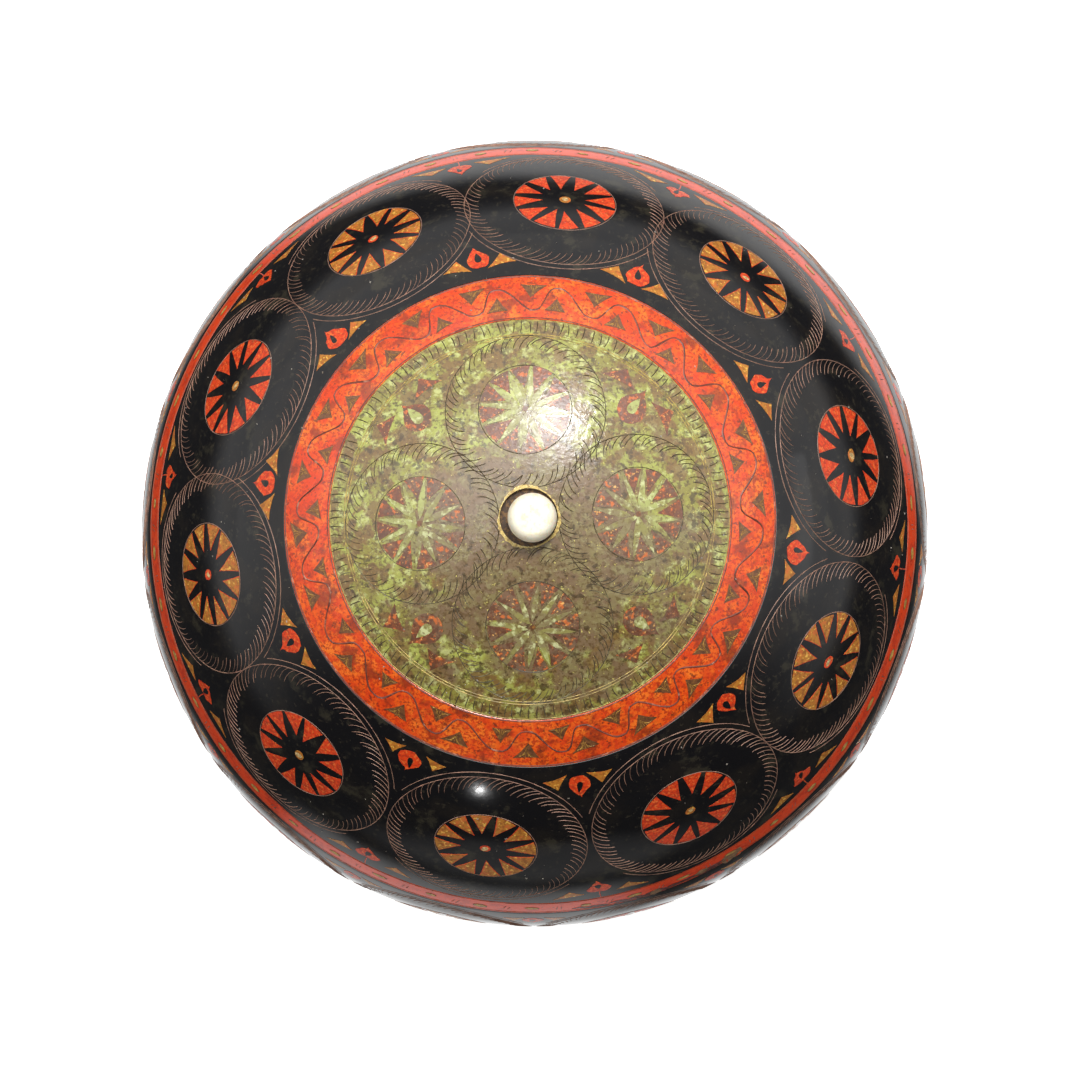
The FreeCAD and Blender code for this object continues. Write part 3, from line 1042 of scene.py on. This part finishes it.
def feather(size, weight=1.0):
    """Curved stroke that leaves a circle at a slant and turns towards its centre."""
    steps = 7
    x = y = 0.0
    path = []
    for i in range(steps + 1):
        share = i / steps
        width = (0.22 + 0.18 * share) * weight * MM
        path.append((x, y, width if i < steps else 0.14 * MM))
        lean = math.radians(60 - 48 * share)
        x -= size / steps * math.sin(lean)
        y -= size / steps * math.cos(lean)
    return strokes([path])


def drop(size):
    """Small pointed oval, of a length in millimetres."""
    return bowed_shape([(0, 0.5), (-0.26, -0.2), (0, -0.5), (0.26, -0.2)],
                       (-0.06, -0.22, -0.22, -0.06), size)


def oval(long, wide):
    around = 14
    return [(long / 2 * math.cos(2 * math.pi * i / around),
             wide / 2 * math.sin(2 * math.pi * i / around)) for i in range(around)]


def sector(scale=1.0):
    """Wheel's coloured field between two petals, hung from the wheel's edge."""
    return bowed_shape([(0, -9.2), (3.5, -0.4), (-3.5, -0.4)], (0.015, -0.055, 0.015), scale)


def roundels(prefix, body, arc, azimuths, first_seed):
    """Feathered roundels with red and gold wheels in turn, at an arc from the crown."""
    given = sizes()[0]
    places = [(arc, math.radians(azimuth)) for azimuth in azimuths]
    rings = [(*ring, *place, 1.0) for place in places
             for ring in ring_of(given.circle, given.strokes, place[1])]
    stamps(prefix + "_feather_strokes", feather(given.stroke), rings, scored_lac, body, "black_lac",
           turn_error=math.radians(3), size_error=0.09, place_error=0.15 * MM,
           ragged=0.03 * MM, seed=first_seed)
    lines = [(circle(given.circle), True, *place) for place in places]
    for place in places:
        for middle in (0, 180):
            turns = [math.radians(middle + spread) for spread in range(-58, 59, 3)]
            lines.append(([polar(given.outer_circle, turn) for turn in turns], False, *place))
    scored(prefix + "_circles", lines, scored_lac, body, "black_lac", 0.36 * MM,
           seed=first_seed + 1)
    scored(prefix + "_wheel_edges",
           [(circle(given.wheel + 0.35 * MM), True, *place) for place in places],
           scored_lac, body, "black_lac", 0.34 * MM, waver=0.05 * MM, seed=first_seed + 2)
    fields = {}
    dots = {}
    for colour_name, chosen in (("red", places[0::2]), ("gold", places[1::2])):
        fields[colour_name] = [(*ring, *place, 1.0) for place in chosen
                               for ring in ring_of(given.wheel, given.petals, 0.3)]
        dots[colour_name] = [at(*place) for place in chosen]
    error = dict(turn_error=math.radians(5), size_error=0.09, place_error=0.2 * MM)
    stamps(prefix + "_red_fields", inlay([sector()]), fields["red"], vermilion_lac, body,
           "red_lac", seed=first_seed + 3, **error)
    stamps(prefix + "_gold_field_edges", inlay([sector()], top=-0.15 * MM), fields["gold"],
           vermilion_lac, body, "red_lac", seed=first_seed + 4, **error)
    stamps(prefix + "_gold_fields", inlay([sector(0.93)], top=-0.1 * MM), fields["gold"], gold_lac,
           body, "orange_lac", seed=first_seed + 4, **error)
    for colour_name, make, slot in (("red", gold_lac, "orange_lac"),
                                    ("gold", vermilion_lac, "red_lac")):
        stamps(prefix + "_" + colour_name + "_wheel_dots", inlay([oval(4.0 * MM, 3.4 * MM)], 1 * MM),
               dots[colour_name], make, body, slot, turn_error=1.0, size_error=0.15,
               seed=first_seed + 5)
    stamps(prefix + "_dot_hearts", inlay([oval(2.2 * MM, 1.6 * MM)], 0.8 * MM, top=-0.08 * MM),
           dots["red"] + dots["gold"], pale_heart, body, "orange_lac", turn_error=1.0,
           size_error=0.3, place_error=0.3 * MM, seed=first_seed + 6)


TULIP = ([(-0.3, 4.6), (-1.5, 2.5), (-3.5, -0.4), (-2.4, -3.4), (0.2, -4.4), (2.7, -3.2), (3.5, -0.2),
          (1.3, 2.5)], (0.1, -0.06, -0.12, -0.1, -0.1, -0.12, -0.06, 0.1))
KITE = ([(0.0, 3.2), (-2.4, 3.6), (-4.3, 0.6), (-1.2, -2.6), (0.4, -4.9), (1.6, -2.6), (4.2, 1.4),
         (2.2, 3.5)], (-0.06, -0.1, 0.04, 0.08, 0.08, 0.04, -0.1, -0.06))
SAIL = ([(-3.6, -2.6), (4.6, -1.4), (0.4, 2.7)], (0.05, 0.02, 0.03))
LONG_SAIL = ([(-5.2, 1.2), (-0.6, -2.4), (6.0, 2.4)], (0.03, 0.03, 0.02))


def mirrored(shape):
    """The same shape, flipped left to right."""
    corners, bows = shape
    return [(-x, y) for x, y in corners[::-1]], bows[-2::-1] + bows[-1:]


def spandrels(prefix, body, azimuths, inner_arc, outer_arc, first_seed):
    """Leaves with two sails each, in the corners between roundels."""
    inner = [at(inner_arc, azimuth) for azimuth in azimuths]
    outer = [at(outer_arc, azimuth) for azimuth in azimuths]
    error = dict(turn_error=math.radians(8), size_error=0.12, place_error=0.5 * MM,
                 ragged=0.5 * MM)
    stamps(prefix + "_inner_leaves", inlay([bowed_shape(*TULIP)], 1.1 * MM), inner, vermilion_lac,
           body, "red_lac", seed=first_seed, **error)
    stamps(prefix + "_outer_leaves", inlay([bowed_shape(*KITE)], 1.1 * MM), outer, vermilion_lac,
           body, "red_lac", seed=first_seed + 1, **error)
    stamps(prefix + "_leaf_eyes", inlay([drop(3.8)], 0.7 * MM, top=-0.09 * MM), inner + outer,
           black_lac, body, "black_lac", turn_error=0.3, size_error=0.2, place_error=0.4 * MM,
           seed=first_seed + 2)
    stems = [([(0.0, 3.4 * MM), (0.2 * MM, 6 * MM), (-0.1 * MM, 9.4 * MM)], False, outer_arc, azimuth)
             for azimuth in azimuths]
    scored(prefix + "_leaf_stems", stems, vermilion_lac, body, "red_lac", 0.5 * MM,
           seed=first_seed + 3)
    for side, flip in (("left", -1), ("right", 1)):
        for zone, shape, arc, away, drop_by in (
                ("inner", SAIL, inner_arc, 6.6 * MM, -2.6 * MM),
                ("outer", LONG_SAIL, outer_arc, 10.5 * MM, 3.4 * MM)):
            drawn = bowed_shape(*(shape if flip > 0 else mirrored(shape)))
            anchors = [(flip * away, drop_by, 0.0, arc, azimuth, 1.0) for azimuth in azimuths]
            stamps("%s_%s_%s_sails" % (prefix, zone, side), inlay([drawn], 1.3 * MM), anchors,
                   gold_lac, body, "orange_lac", turn_error=math.radians(6), size_error=0.14,
                   place_error=0.5 * MM, seed=first_seed + 4)


def middles(azimuths):
    """Azimuths halfway between neighbours, in radians."""
    return [math.radians((a + (b - a) % 360 / 2) % 360)
            for a, b in zip(azimuths, azimuths[1:] + azimuths[:1])]


class MAKE_OT_roundels(bpy.types.Operator):
    """Score the feathered roundels and inlay their wheels"""
    bl_idname = "lac_bowl.roundels"
    bl_label = "Feathered roundels"

    def execute(self, context):
        given = sizes()[0]
        roundels("lid", "lid", given.lid_arc, LID_ROUNDELS, 11)
        around = [360 * i / given.bowl_count for i in range(given.bowl_count)]
        roundels("bowl", "bowl", ARC["bowl"] + given.bowl_arc, around, 31)
        return {"FINISHED"}


class MAKE_OT_spandrels(bpy.types.Operator):
    """Inlay the leaves and sails between the roundels"""
    bl_idname = "lac_bowl.spandrels"
    bl_label = "Leaves and sails"

    def execute(self, context):
        given = sizes()[0]
        spandrels("lid", "lid", middles(LID_ROUNDELS), ARC["orange"] + 9.4 * MM,
                  ARC["red"] - 9.6 * MM, 51)
        around = tuple(360 * i / given.bowl_count for i in range(given.bowl_count))
        middle = ARC["bowl"] + given.bowl_arc
        spandrels("bowl", "bowl", middles(around), middle - 26 * MM, middle + 26 * MM, 61)
        return {"FINISHED"}


def wave_band(prefix, body, inner, outer, waves, height, scale, first_seed):
    """Running wave round a band, with hatched triangles in its bends."""
    chance = random.Random(first_seed)
    widths = [1 + chance.uniform(-0.13, 0.13) for _ in range(waves)]
    total = sum(widths)
    bends = [0.0]
    for width in widths:
        bends.append(bends[-1] + 2 * math.pi * width / total)
    middle = (inner + outer) / 2 - 0.6 * MM
    points = []
    crests = []
    troughs = []
    per_wave = 24
    for start, end in zip(bends, bends[1:]):
        reach = height * (1 + chance.uniform(-0.08, 0.08))
        for i in range(per_wave):
            share = i / per_wave
            phase = 2 * math.pi * share
            phase -= 0.42 * math.cos(phase)
            swing = -math.cos(phase) + 0.1 * math.cos(3 * phase)
            points.append(polar(middle + reach * swing, -(start + (end - start) * share)))
        crests.append(start + 0.44 * (end - start))
        troughs.append(start + 0.06 * (end - start))
    scored(prefix + "_wave", [(points, True, 0.0, 0.0)], orange_scored_lac, body, "orange_lac",
           0.62 * MM, top=-0.05 * MM, waver=0.2 * MM, seed=first_seed)
    outer_triangle = ([(-4.4, 1.5), (-0.5, -3.4), (4.2, 2.3)], (0.02, 0.03, 0.02))
    inner_triangle = ([(-0.3, 3.2), (-3.3, -2.3), (3.4, -1.5)], (0.03, 0.02, 0.02))
    for zone, shape, azimuths, arc, slant in (
            ("outer", outer_triangle, troughs, middle + 3.4 * MM, 1),
            ("inner", inner_triangle, crests, middle - 2.8 * MM, -1)):
        anchors = [at(arc, azimuth, scale) for azimuth in azimuths]
        error = dict(turn_error=math.radians(9), size_error=0.1, place_error=0.35 * MM,
                     seed=first_seed + 1)
        stamps("%s_%s_triangles" % (prefix, zone), inlay([bowed_shape(*shape)], 1.3 * MM), anchors,
               brown_lac, body, "orange_lac", **error)
        hatching = []
        for i in range(-3, 4):
            base = i * 0.85 * MM
            near, far = (1.6 * MM, (-2.4 + 1.1 * abs(i)) * MM)
            hatching.append([(base, slant * near * 0.9, 0.3 * MM),
                             (base * 0.55, slant * (near + far) / 2, 0.42 * MM),
                             (base * 0.3, slant * far * 0.8, 0.14 * MM)])
        stamps("%s_%s_hatching" % (prefix, zone), strokes(hatching, top=-0.06 * MM), anchors,
               yellow_lac, body, "orange_lac", **error)
    scored(prefix + "_edges", [parallel(inner + 0.5 * MM), parallel(outer - 0.5 * MM)],
           orange_scored_lac, body, "orange_lac", 0.5 * MM, top=-0.06 * MM, seed=first_seed + 2)


class MAKE_OT_orange_bands(bpy.types.Operator):
    """Score the running wave and the hatched triangles on the orange bands"""
    bl_idname = "lac_bowl.orange_bands"
    bl_label = "Orange bands"

    def execute(self, context):
        given = sizes()[1]
        wave_band("lid_band", "lid", ARC["green"], ARC["orange"], given.waves, given.wave_height,
                  1.0, 71)
        wave_band("bowl_band", "bowl", ARC["bowl_black"], ARC["bowl_orange"], 2 * given.waves,
                  0.62 * given.wave_height, 0.62, 81)
        return {"FINISHED"}


MEDALLION_WHEELS = (-2, 88, 178, 267)


class MAKE_OT_medallion(bpy.types.Operator):
    """Score and inlay the green medallion round the knob"""
    bl_idname = "lac_bowl.medallion"
    bl_label = "Medallion"

    def execute(self, context):
        given = sizes()[1]
        roundel = sizes()[0]
        border = ARC["green"] - 5.5 * MM
        scored("medallion_rings", [parallel(border), parallel(border - 0.9 * MM),
                                   parallel(ARC["green"] - 0.4 * MM)],
               pale_scored_lac, "lid", "green_lac", 0.4 * MM, seed=91)
        half = given.tick / 2
        tick = strokes([[(0.0, -half, 0.3 * MM), (0.15 * MM, -0.4 * half, 0.56 * MM),
                         (0.15 * MM, 0.5 * half, 0.6 * MM), (-0.1 * MM, half, 0.3 * MM)]])
        anchors = [at(border + 2.8 * MM, turn) for _, _, turn in ring_of(border, given.ticks)]
        stamps("medallion_ticks", tick, anchors, dark_scored_lac, "lid", "green_lac",
               turn_error=math.radians(9), size_error=0.14, place_error=0.4 * MM, seed=92)
        places = [(given.medallion_arc, math.radians(azimuth)) for azimuth in MEDALLION_WHEELS]
        scale = given.medallion_wheel / roundel.wheel
        fields = [(*ring, *place, scale) for place in places
                  for ring in ring_of(given.medallion_wheel, roundel.petals, 0.2)]
        stamps("medallion_fields", inlay([sector()]), fields, faded_lac, "lid", "red_lac",
               turn_error=math.radians(6), size_error=0.12, place_error=0.3 * MM, seed=93)
        petal = bowed_shape([(0, -0.4), (-0.85, -6.5), (0, -12.4), (0.85, -6.5)],
                            (-0.03, -0.08, -0.08, -0.03))
        petals = [(*ring, *place, 1.0) for place in places
                  for ring in ring_of(given.medallion_wheel - 0.5 * MM, roundel.petals, 0.7)]
        stamps("medallion_petals", inlay([petal], top=-0.1 * MM), petals, pale_green_lac, "lid",
               "green_lac", turn_error=math.radians(5), size_error=0.1, place_error=0.2 * MM, seed=94)
        stamps("medallion_dots", inlay([oval(1.8 * MM, 1.6 * MM)], 0.8 * MM, top=-0.07 * MM),
               [at(*place) for place in places], brown_lac, "lid", "red_lac", seed=95)
        lines = [(circle(radius), True, *place) for place in places
                 for radius in (given.medallion_wheel + 0.3 * MM, given.medallion_circle)]
        scored("medallion_circles", lines, dark_scored_lac, "lid", "green_lac", 0.36 * MM, seed=96)
        feathers = [(*ring, *place, 0.85) for place in places
                    for ring in ring_of(given.medallion_circle, 62)]
        stamps("medallion_feather_strokes", feather(roundel.stroke, 1.35), feathers, dark_scored_lac,
               "lid", "green_lac", turn_error=math.radians(8), size_error=0.16,
               place_error=0.3 * MM, seed=97)
        corners = [turn + math.radians(45) for _, turn in places]
        leaf_arc = border - 10.5 * MM
        leaves = [at(leaf_arc, turn, 1.4) for turn in corners]
        stamps("medallion_leaves", inlay([bowed_shape(*TULIP)], 1.1 * MM), leaves, faded_lac, "lid",
               "red_lac", turn_error=math.radians(10), size_error=0.1, seed=98)
        stamps("medallion_leaf_drops", inlay([drop(4.6)], 1.2 * MM, top=-0.09 * MM), leaves,
               pale_green_lac, "lid", "green_lac", turn_error=0.3, size_error=0.1, seed=99)
        for side, flip in (("left", -1), ("right", 1)):
            drawn = bowed_shape(*(SAIL if flip < 0 else mirrored(SAIL)))
            sails = [(flip * 9.6 * MM, 4.6 * MM, flip * -0.2, leaf_arc, turn, 1.25)
                     for turn in corners]
            stamps("medallion_%s_sails" % side, inlay([drawn], 1.3 * MM), sails, faded_lac, "lid",
                   "red_lac", turn_error=math.radians(8), size_error=0.15, seed=100)
        return {"FINISHED"}


class MAKE_OT_rim_band(bpy.types.Operator):
    """Cut the ovals and the paired ticks into the red rim band"""
    bl_idname = "lac_bowl.rim_band"
    bl_label = "Red rim band"

    def execute(self, context):
        given = sizes()[1]
        middle = (ARC["red"] + ARC["lid"]) / 2
        turns = [turn for _, _, turn in ring_of(middle, given.ovals)]
        ovals = [at(middle, turn) for turn in turns]
        stamps("rim_ovals", inlay([oval(4.6 * MM, 2.7 * MM)], 1.4 * MM), ovals, brown_lac, "lid",
               "red_lac", turn_error=0.15, size_error=0.2, place_error=0.5 * MM, seed=111)
        stamps("rim_oval_hearts", inlay([oval(3.9 * MM, 2.0 * MM)], 1.2 * MM, top=-0.08 * MM), ovals,
               yellow_lac, "lid", "red_lac", turn_error=0.15, size_error=0.2,
               place_error=0.5 * MM, seed=111)
        pair = strokes([[(x * MM + 0.25 * MM, 1.5 * MM, 0.3 * MM), (x * MM, 0.0, 0.62 * MM),
                         (x * MM - 0.2 * MM, -1.4 * MM, 0.3 * MM)] for x in (-0.8, 0.8)])
        half_step = math.pi / given.ovals
        ticks = [at(middle, turn + half_step) for turn in turns]
        stamps("rim_ticks", pair, ticks, brown_lac, "lid", "red_lac", turn_error=0.25,
               size_error=0.2, place_error=0.4 * MM, seed=112)
        scored("rim_lines", [parallel(ARC["red"] + 0.5 * MM), parallel(ARC["lid"] - 1.2 * MM)],
               brown_lac, "lid", "red_lac", 0.3 * MM, seed=113)
        return {"FINISHED"}


class MAKE_OT_wear(bpy.types.Operator):
    """Break lac off the rim and let dust lie on the gloss"""
    bl_idname = "lac_bowl.wear"
    bl_label = "Wear"

    def execute(self, context):
        # Fault: the bruises, chips and splinters reach up to 2.7 mm below the lid's rim, over the seat
        # gap and into the bowl's coat, so they sweep through it when the lid turns.
        chance = random.Random(7)
        rim = ARC["lid"]
        bruises = []
        for _ in range(16):
            azimuth = math.radians(chance.uniform(151, 173))
            bruises.append((0.0, 0.0, chance.uniform(-0.3, 0.3), rim - chance.uniform(0.8, 3.4) * MM,
                            azimuth, chance.uniform(0.8, 1.6)))
        patch = [(-3.2, 0.1), (-1.2, 0.9), (1.4, 0.6), (3.4, 1.1), (2.2, -0.5), (0.4, -0.9),
                 (-1.8, -0.5)]
        stamps("rim_bruises", inlay([bowed_shape(patch, (0.1,) * 7)], 1 * MM, top=-0.12 * MM), bruises,
               bruised_lac, "lid", "red_lac", ragged=0.4 * MM, seed=131)
        chip = [(-2.6, -2.2), (-2.2, 0.4), (-0.9, 2.3), (0.6, 1.4), (2.4, 2.4), (2.9, -0.3),
                (1.6, -2.4)]
        chips = [at(rim - 1.9 * MM, math.radians(148.6), 1.6, 0.2),
                 at(rim - 3.0 * MM, math.radians(153.8), 0.8, -0.4),
                 at(rim - 1.7 * MM, math.radians(161.2), 0.85, 0.5)]
        stamps("rim_chips", inlay([bowed_shape(chip, (0.06,) * 7)], 0.8 * MM, top=-0.1 * MM), chips,
               chipped_wood, "lid", "wood", ragged=0.5 * MM, seed=132)
        splinter = [(-2.2, -0.3), (-0.4, 0.5), (3.0, 0.9), (1.0, -0.2)]
        splinters = [(0.4 * MM, -0.4 * MM, 0.5, rim - 1.4 * MM, math.radians(147.0), 1.2),
                     (1.6 * MM, 1.6 * MM, 1.2, rim - 2.4 * MM, math.radians(149.0), 0.6)]
        stamps("rim_splinters", inlay([bowed_shape(splinter, (0.04,) * 4)], 0.8 * MM,
                                      top=-0.07 * MM),
               splinters, vermilion_lac, "lid", "red_lac", ragged=0.1 * MM, seed=133)
        specks = []
        for _ in range(260):
            arc = chance.uniform(ARC["green"] - 20 * MM, ARC["red"])
            specks.append((0.0, 0.0, chance.uniform(0, 6), arc, chance.uniform(0, 2 * math.pi),
                           chance.uniform(0.25, 1.0) ** 2))
        speck = [(-0.4, 0.0), (-0.1, 0.28), (0.4, 0.1), (0.2, -0.26)]
        stamps("dust_specks", inlay([bowed_shape(speck, (0.0,) * 4)], 1 * MM, top=-0.05 * MM), specks,
               dust, "lid", "black_lac", ragged=0.1 * MM, seed=134)
        return {"FINISHED"}


class MAKE_OT_underside(bpy.types.Operator):
    """Score the green lac under the bowl"""
    bl_idname = "lac_bowl.underside"
    bl_label = "Underside"

    def execute(self, context):
        given = sizes()[1]
        top = ARC["bowl_orange"]
        scored("underside_rings", [parallel(top + 6.2 * MM), parallel(top + 7.1 * MM),
                                   parallel(ARC["foot"] - 6 * MM)],
               dark_scored_lac, "bowl", "green_lac", 0.4 * MM, seed=121)
        half = given.tick / 2
        tick = strokes([[(0.0, -half, 0.2 * MM), (0.1 * MM, 0.0, 0.46 * MM),
                         (0.0, half, 0.2 * MM)]])
        anchors = [at(top + 3.2 * MM, turn) for _, _, turn in ring_of(1.0, 2 * given.ticks)]
        stamps("underside_ticks", tick, anchors, dark_scored_lac, "bowl", "green_lac",
               turn_error=math.radians(9), size_error=0.14, place_error=0.4 * MM, seed=122)
        middle = (top + 7.1 * MM + ARC["foot"] - 6 * MM) / 2
        leaves = [at(middle, turn, 1.6) for _, _, turn in ring_of(1.0, 20)]
        stamps("underside_leaves", inlay([bowed_shape(*TULIP)], 1.1 * MM), leaves, faded_lac, "bowl",
               "red_lac", turn_error=math.radians(6), size_error=0.08, place_error=0.5 * MM, seed=123)
        stamps("underside_leaf_drops", inlay([drop(4.6)], 1.2 * MM, top=-0.09 * MM), leaves,
               pale_green_lac, "bowl", "green_lac", turn_error=0.2, seed=124)
        return {"FINISHED"}


# ---------------------------------------------------------------- stage

def soft_box(name, width, height, centre, target, strength):
    """Rectangular light facing a point. strength is the radiance it shows in a reflection."""
    light = bpy.data.lights.new(name, "AREA")
    light.shape = "RECTANGLE"
    light.size = width
    light.size_y = height
    light.energy = strength * math.pi * width * height
    made = linked(name, light)
    made.location = centre
    made.rotation_euler = (target - centre).to_track_quat("-Z", "Y").to_euler()


# Name, direction from the crown, distance in metres, width, height and radiance.
LIGHTS = (("key_light", (0.12, 0.50, 0.86), 1.5, 0.25, 0.25, 100),
          ("panel_light", (-0.26, 0.26, 0.93), 1.6, 1.0, 0.8, 3.2),
          ("spark_light", (-0.20, -0.96, 0.13), 1.4, 0.024, 0.024, 200),
          ("left_card", (-0.90, 0.30, 0.30), 1.3, 0.5, 0.16, 0.7),
          ("right_card", (0.95, 0.02, 0.10), 1.3, 0.7, 0.16, 0.6))
LENS = 78.94
SENSOR = 36
AIM = Vector((3.4 * MM, -7.0 * MM, 0))                # from the crown
CAMERA_PLACE = Vector((7.7 * MM, -22.6 * MM, 713.0 * MM))    # from the aim


class MAKE_OT_stage(bpy.types.Operator):
    """Set the floor, the studio light and the camera"""
    bl_idname = "lac_bowl.stage"
    bl_label = "Stage"

    def execute(self, context):
        crown = Vector((0, 0, BELLY_HEIGHT + CROWN_RISE))
        self.floor()
        self.world()
        for name, direction, away, width, height, strength in LIGHTS:
            direction = Vector(direction).normalized()
            soft_box(name, width, height, crown + away * direction, crown, strength)
        self.camera(crown)
        context.scene.view_settings.view_transform = "Standard"
        return {"FINISHED"}

    def floor(self):
        """Pale matt floor. It looks white, and mirrors as light close by, behind and in front."""
        shape = bmesh.new()
        bmesh.ops.create_grid(shape, x_segments=1, y_segments=1, size=6)
        mesh = bpy.data.meshes.new("floor")
        shape.to_mesh(mesh)
        shape.free()
        linked("floor", mesh)
        material = bpy.data.materials.new("pale matt studio floor")
        material.use_nodes = True
        tree = material.node_tree
        tree.nodes.clear()
        place = add(tree, "ShaderNodeTexCoord").outputs["Object"]
        x, y, _ = parts(tree, place)
        away = vector(tree, "LENGTH", place)["Value"]
        outward = vector(tree, "NORMALIZE", place)[0]

        def both(operation, a, b):
            return maths(tree, operation, a, b)

        def ramp(value, start, end, first, last):
            return smooth_ramp(tree, value, start, end, first, last)

        def towards(direction):
            return vector(tree, "DOT_PRODUCT", outward, direction)["Value"]

        # Brightness in reflections, in zones: near the bowl and behind it, a patch in front, a strip
        # further forward, and the far floor.
        around = ramp(away, 0.17, 0.22, 1.0, 0)
        turned_off = both("MULTIPLY", both("SUBTRACT", away, 0.27), 2.4)
        behind = ramp(both("SUBTRACT", towards((0.34, 0.94, 0)), turned_off), 0.45, 0.75, 0, 0.85)
        front = both("MULTIPLY", ramp(towards((-0.22, -0.975, 0)), 0.84, 0.95, 0, 0.6),
                     ramp(away, 0.30, 0.40, 1, 0))
        strip = both("MULTIPLY", ramp(y, -1.3, -0.9, 0, 1), ramp(y, -0.5, -0.35, 1, 0))
        strip = both("MULTIPLY", strip, ramp(both("ABSOLUTE", x, 0), 0.15, 0.36, 0.22, 0))
        tone = both("MAXIMUM", both("MAXIMUM", around, behind), both("MAXIMUM", front, strip))
        sides = both("ADD", towards((0, 1, 0)),
                     both("MULTIPLY", both("ABSOLUTE", towards((1, 0, 0)), 0), 0.6))
        far = both("MULTIPLY", ramp(away, 0.6, 1.2, 0, 1), ramp(sides, -0.3, 0.5, 0, 0.7))
        tone = both("ADD", both("MAXIMUM", tone, far), 0.04)
        path = add(tree, "ShaderNodeLightPath").outputs
        tone = add(tree, "ShaderNodeMix", {0: path["Is Glossy Ray"], 2: 0.85, 3: tone}).outputs[0]
        paper = add(tree, "ShaderNodeBsdfDiffuse", {"Color": (0.9, 0.9, 0.9, 1)})
        sweep = add(tree, "ShaderNodeEmission", {"Color": (1, 1, 1, 1), "Strength": tone})
        glow = add(tree, "ShaderNodeEmission", {"Color": (1, 1, 1, 1), "Strength": 0.84})
        white = add(tree, "ShaderNodeAddShader", {0: paper.outputs[0], 1: glow.outputs[0]})
        mix = add(tree, "ShaderNodeMixShader",
                  {0: path["Is Camera Ray"], 1: sweep.outputs[0], 2: white.outputs[0]})
        add(tree, "ShaderNodeOutputMaterial", {0: mix.outputs[0]})
        mesh.materials.append(material)

    def world(self):
        """Even light from a room that mirrors bright at the back and dark in front."""
        world = bpy.data.worlds.new("studio")
        bpy.context.scene.world = world
        world.use_nodes = True
        tree = world.node_tree
        tree.nodes.clear()
        path = add(tree, "ShaderNodeLightPath").outputs
        room = add(tree, "ShaderNodeBackground", {"Color": (1, 1, 1, 1), "Strength": 0.28})
        x, y, z = parts(tree, add(tree, "ShaderNodeTexCoord").outputs["Generated"])
        side = maths(tree, "MULTIPLY_ADD", maths(tree, "ABSOLUTE", x), 0.4, y)
        walls = smooth_ramp(tree, side, -0.4, 0.4, 0.05, 0.95)
        higher = smooth_ramp(tree, z, 0.25, 0.55, 1.0, 3.6)
        walls = maths(tree, "MULTIPLY", walls, higher)
        dark = add(tree, "ShaderNodeBackground", {"Color": (1, 1, 1, 1), "Strength": walls})
        white = add(tree, "ShaderNodeBackground", {"Color": (1, 1, 1, 1), "Strength": 1.0})
        mix = add(tree, "ShaderNodeMixShader",
                  {0: path["Is Glossy Ray"], 1: room.outputs[0], 2: dark.outputs[0]})
        mix = add(tree, "ShaderNodeMixShader",
                  {0: path["Is Camera Ray"], 1: mix.outputs[0], 2: white.outputs[0]})
        add(tree, "ShaderNodeOutputWorld", {0: mix.outputs[0]})

    def camera(self, crown):
        """Camera almost straight above the knob, with +Y up in its view."""
        camera = bpy.data.cameras.new("camera")
        camera.lens = LENS
        camera.sensor_width = SENSOR
        aim = crown + AIM
        place = aim + CAMERA_PLACE
        forward = (aim - place).normalized()
        right = forward.cross(Vector((0, 1, 0))).normalized()
        up = right.cross(forward)
        made = linked("camera", camera)
        made.matrix_world = Matrix((right, up, -forward)).transposed().to_4x4()
        made.location = place
        bpy.context.scene.camera = made


# ---------------------------------------------------------------- add-on

MAKERS = (MAKE_OT_lac_coats, MAKE_OT_wood, MAKE_OT_knob, MAKE_OT_roundels, MAKE_OT_spandrels,
          MAKE_OT_orange_bands, MAKE_OT_medallion, MAKE_OT_rim_band, MAKE_OT_wear, MAKE_OT_underside,
          MAKE_OT_stage)


class VIEW3D_PT_lac_bowl(bpy.types.Panel):
    """The steps that dress the covered bowl"""
    bl_label = "Lac bowl"
    bl_space_type = "VIEW_3D"
    bl_region_type = "UI"
    bl_category = "Lac bowl"

    def draw(self, context):
        for maker in MAKERS:
            self.layout.operator(maker.bl_idname)
        for group in (context.scene.lac_roundels, context.scene.lac_bands,
                      context.scene.lac_colours):
            box = self.layout.box()
            for name in group.bl_rna.properties.keys():
                if name not in ("rna_type", "name"):
                    box.prop(group, name)


GROUPS = {"lac_roundels": RoundelSizes, "lac_bands": BandSizes, "lac_colours": LacColours}


def register():
    for made in (*GROUPS.values(), *MAKERS, VIEW3D_PT_lac_bowl):
        bpy.utils.register_class(made)
    for name, group in GROUPS.items():
        setattr(bpy.types.Scene, name, bpy.props.PointerProperty(type=group))


def unregister():
    for name in GROUPS:
        delattr(bpy.types.Scene, name)
    for made in (VIEW3D_PT_lac_bowl, *MAKERS[::-1], *reversed(GROUPS.values())):
        bpy.utils.unregister_class(made)


def main():
    register()
    bpy.ops.lac_bowl.coats()
    bpy.ops.lac_bowl.wood()
    bpy.ops.lac_bowl.knob()
    bpy.ops.lac_bowl.roundels()
    bpy.ops.lac_bowl.spandrels()
    bpy.ops.lac_bowl.orange_bands()
    bpy.ops.lac_bowl.medallion()
    bpy.ops.lac_bowl.rim_band()
    bpy.ops.lac_bowl.wear()
    bpy.ops.lac_bowl.underside()
    bpy.ops.lac_bowl.stage()
    bpy.data.objects.remove(once(outline_object))


if __name__ == "__main__":
    main()
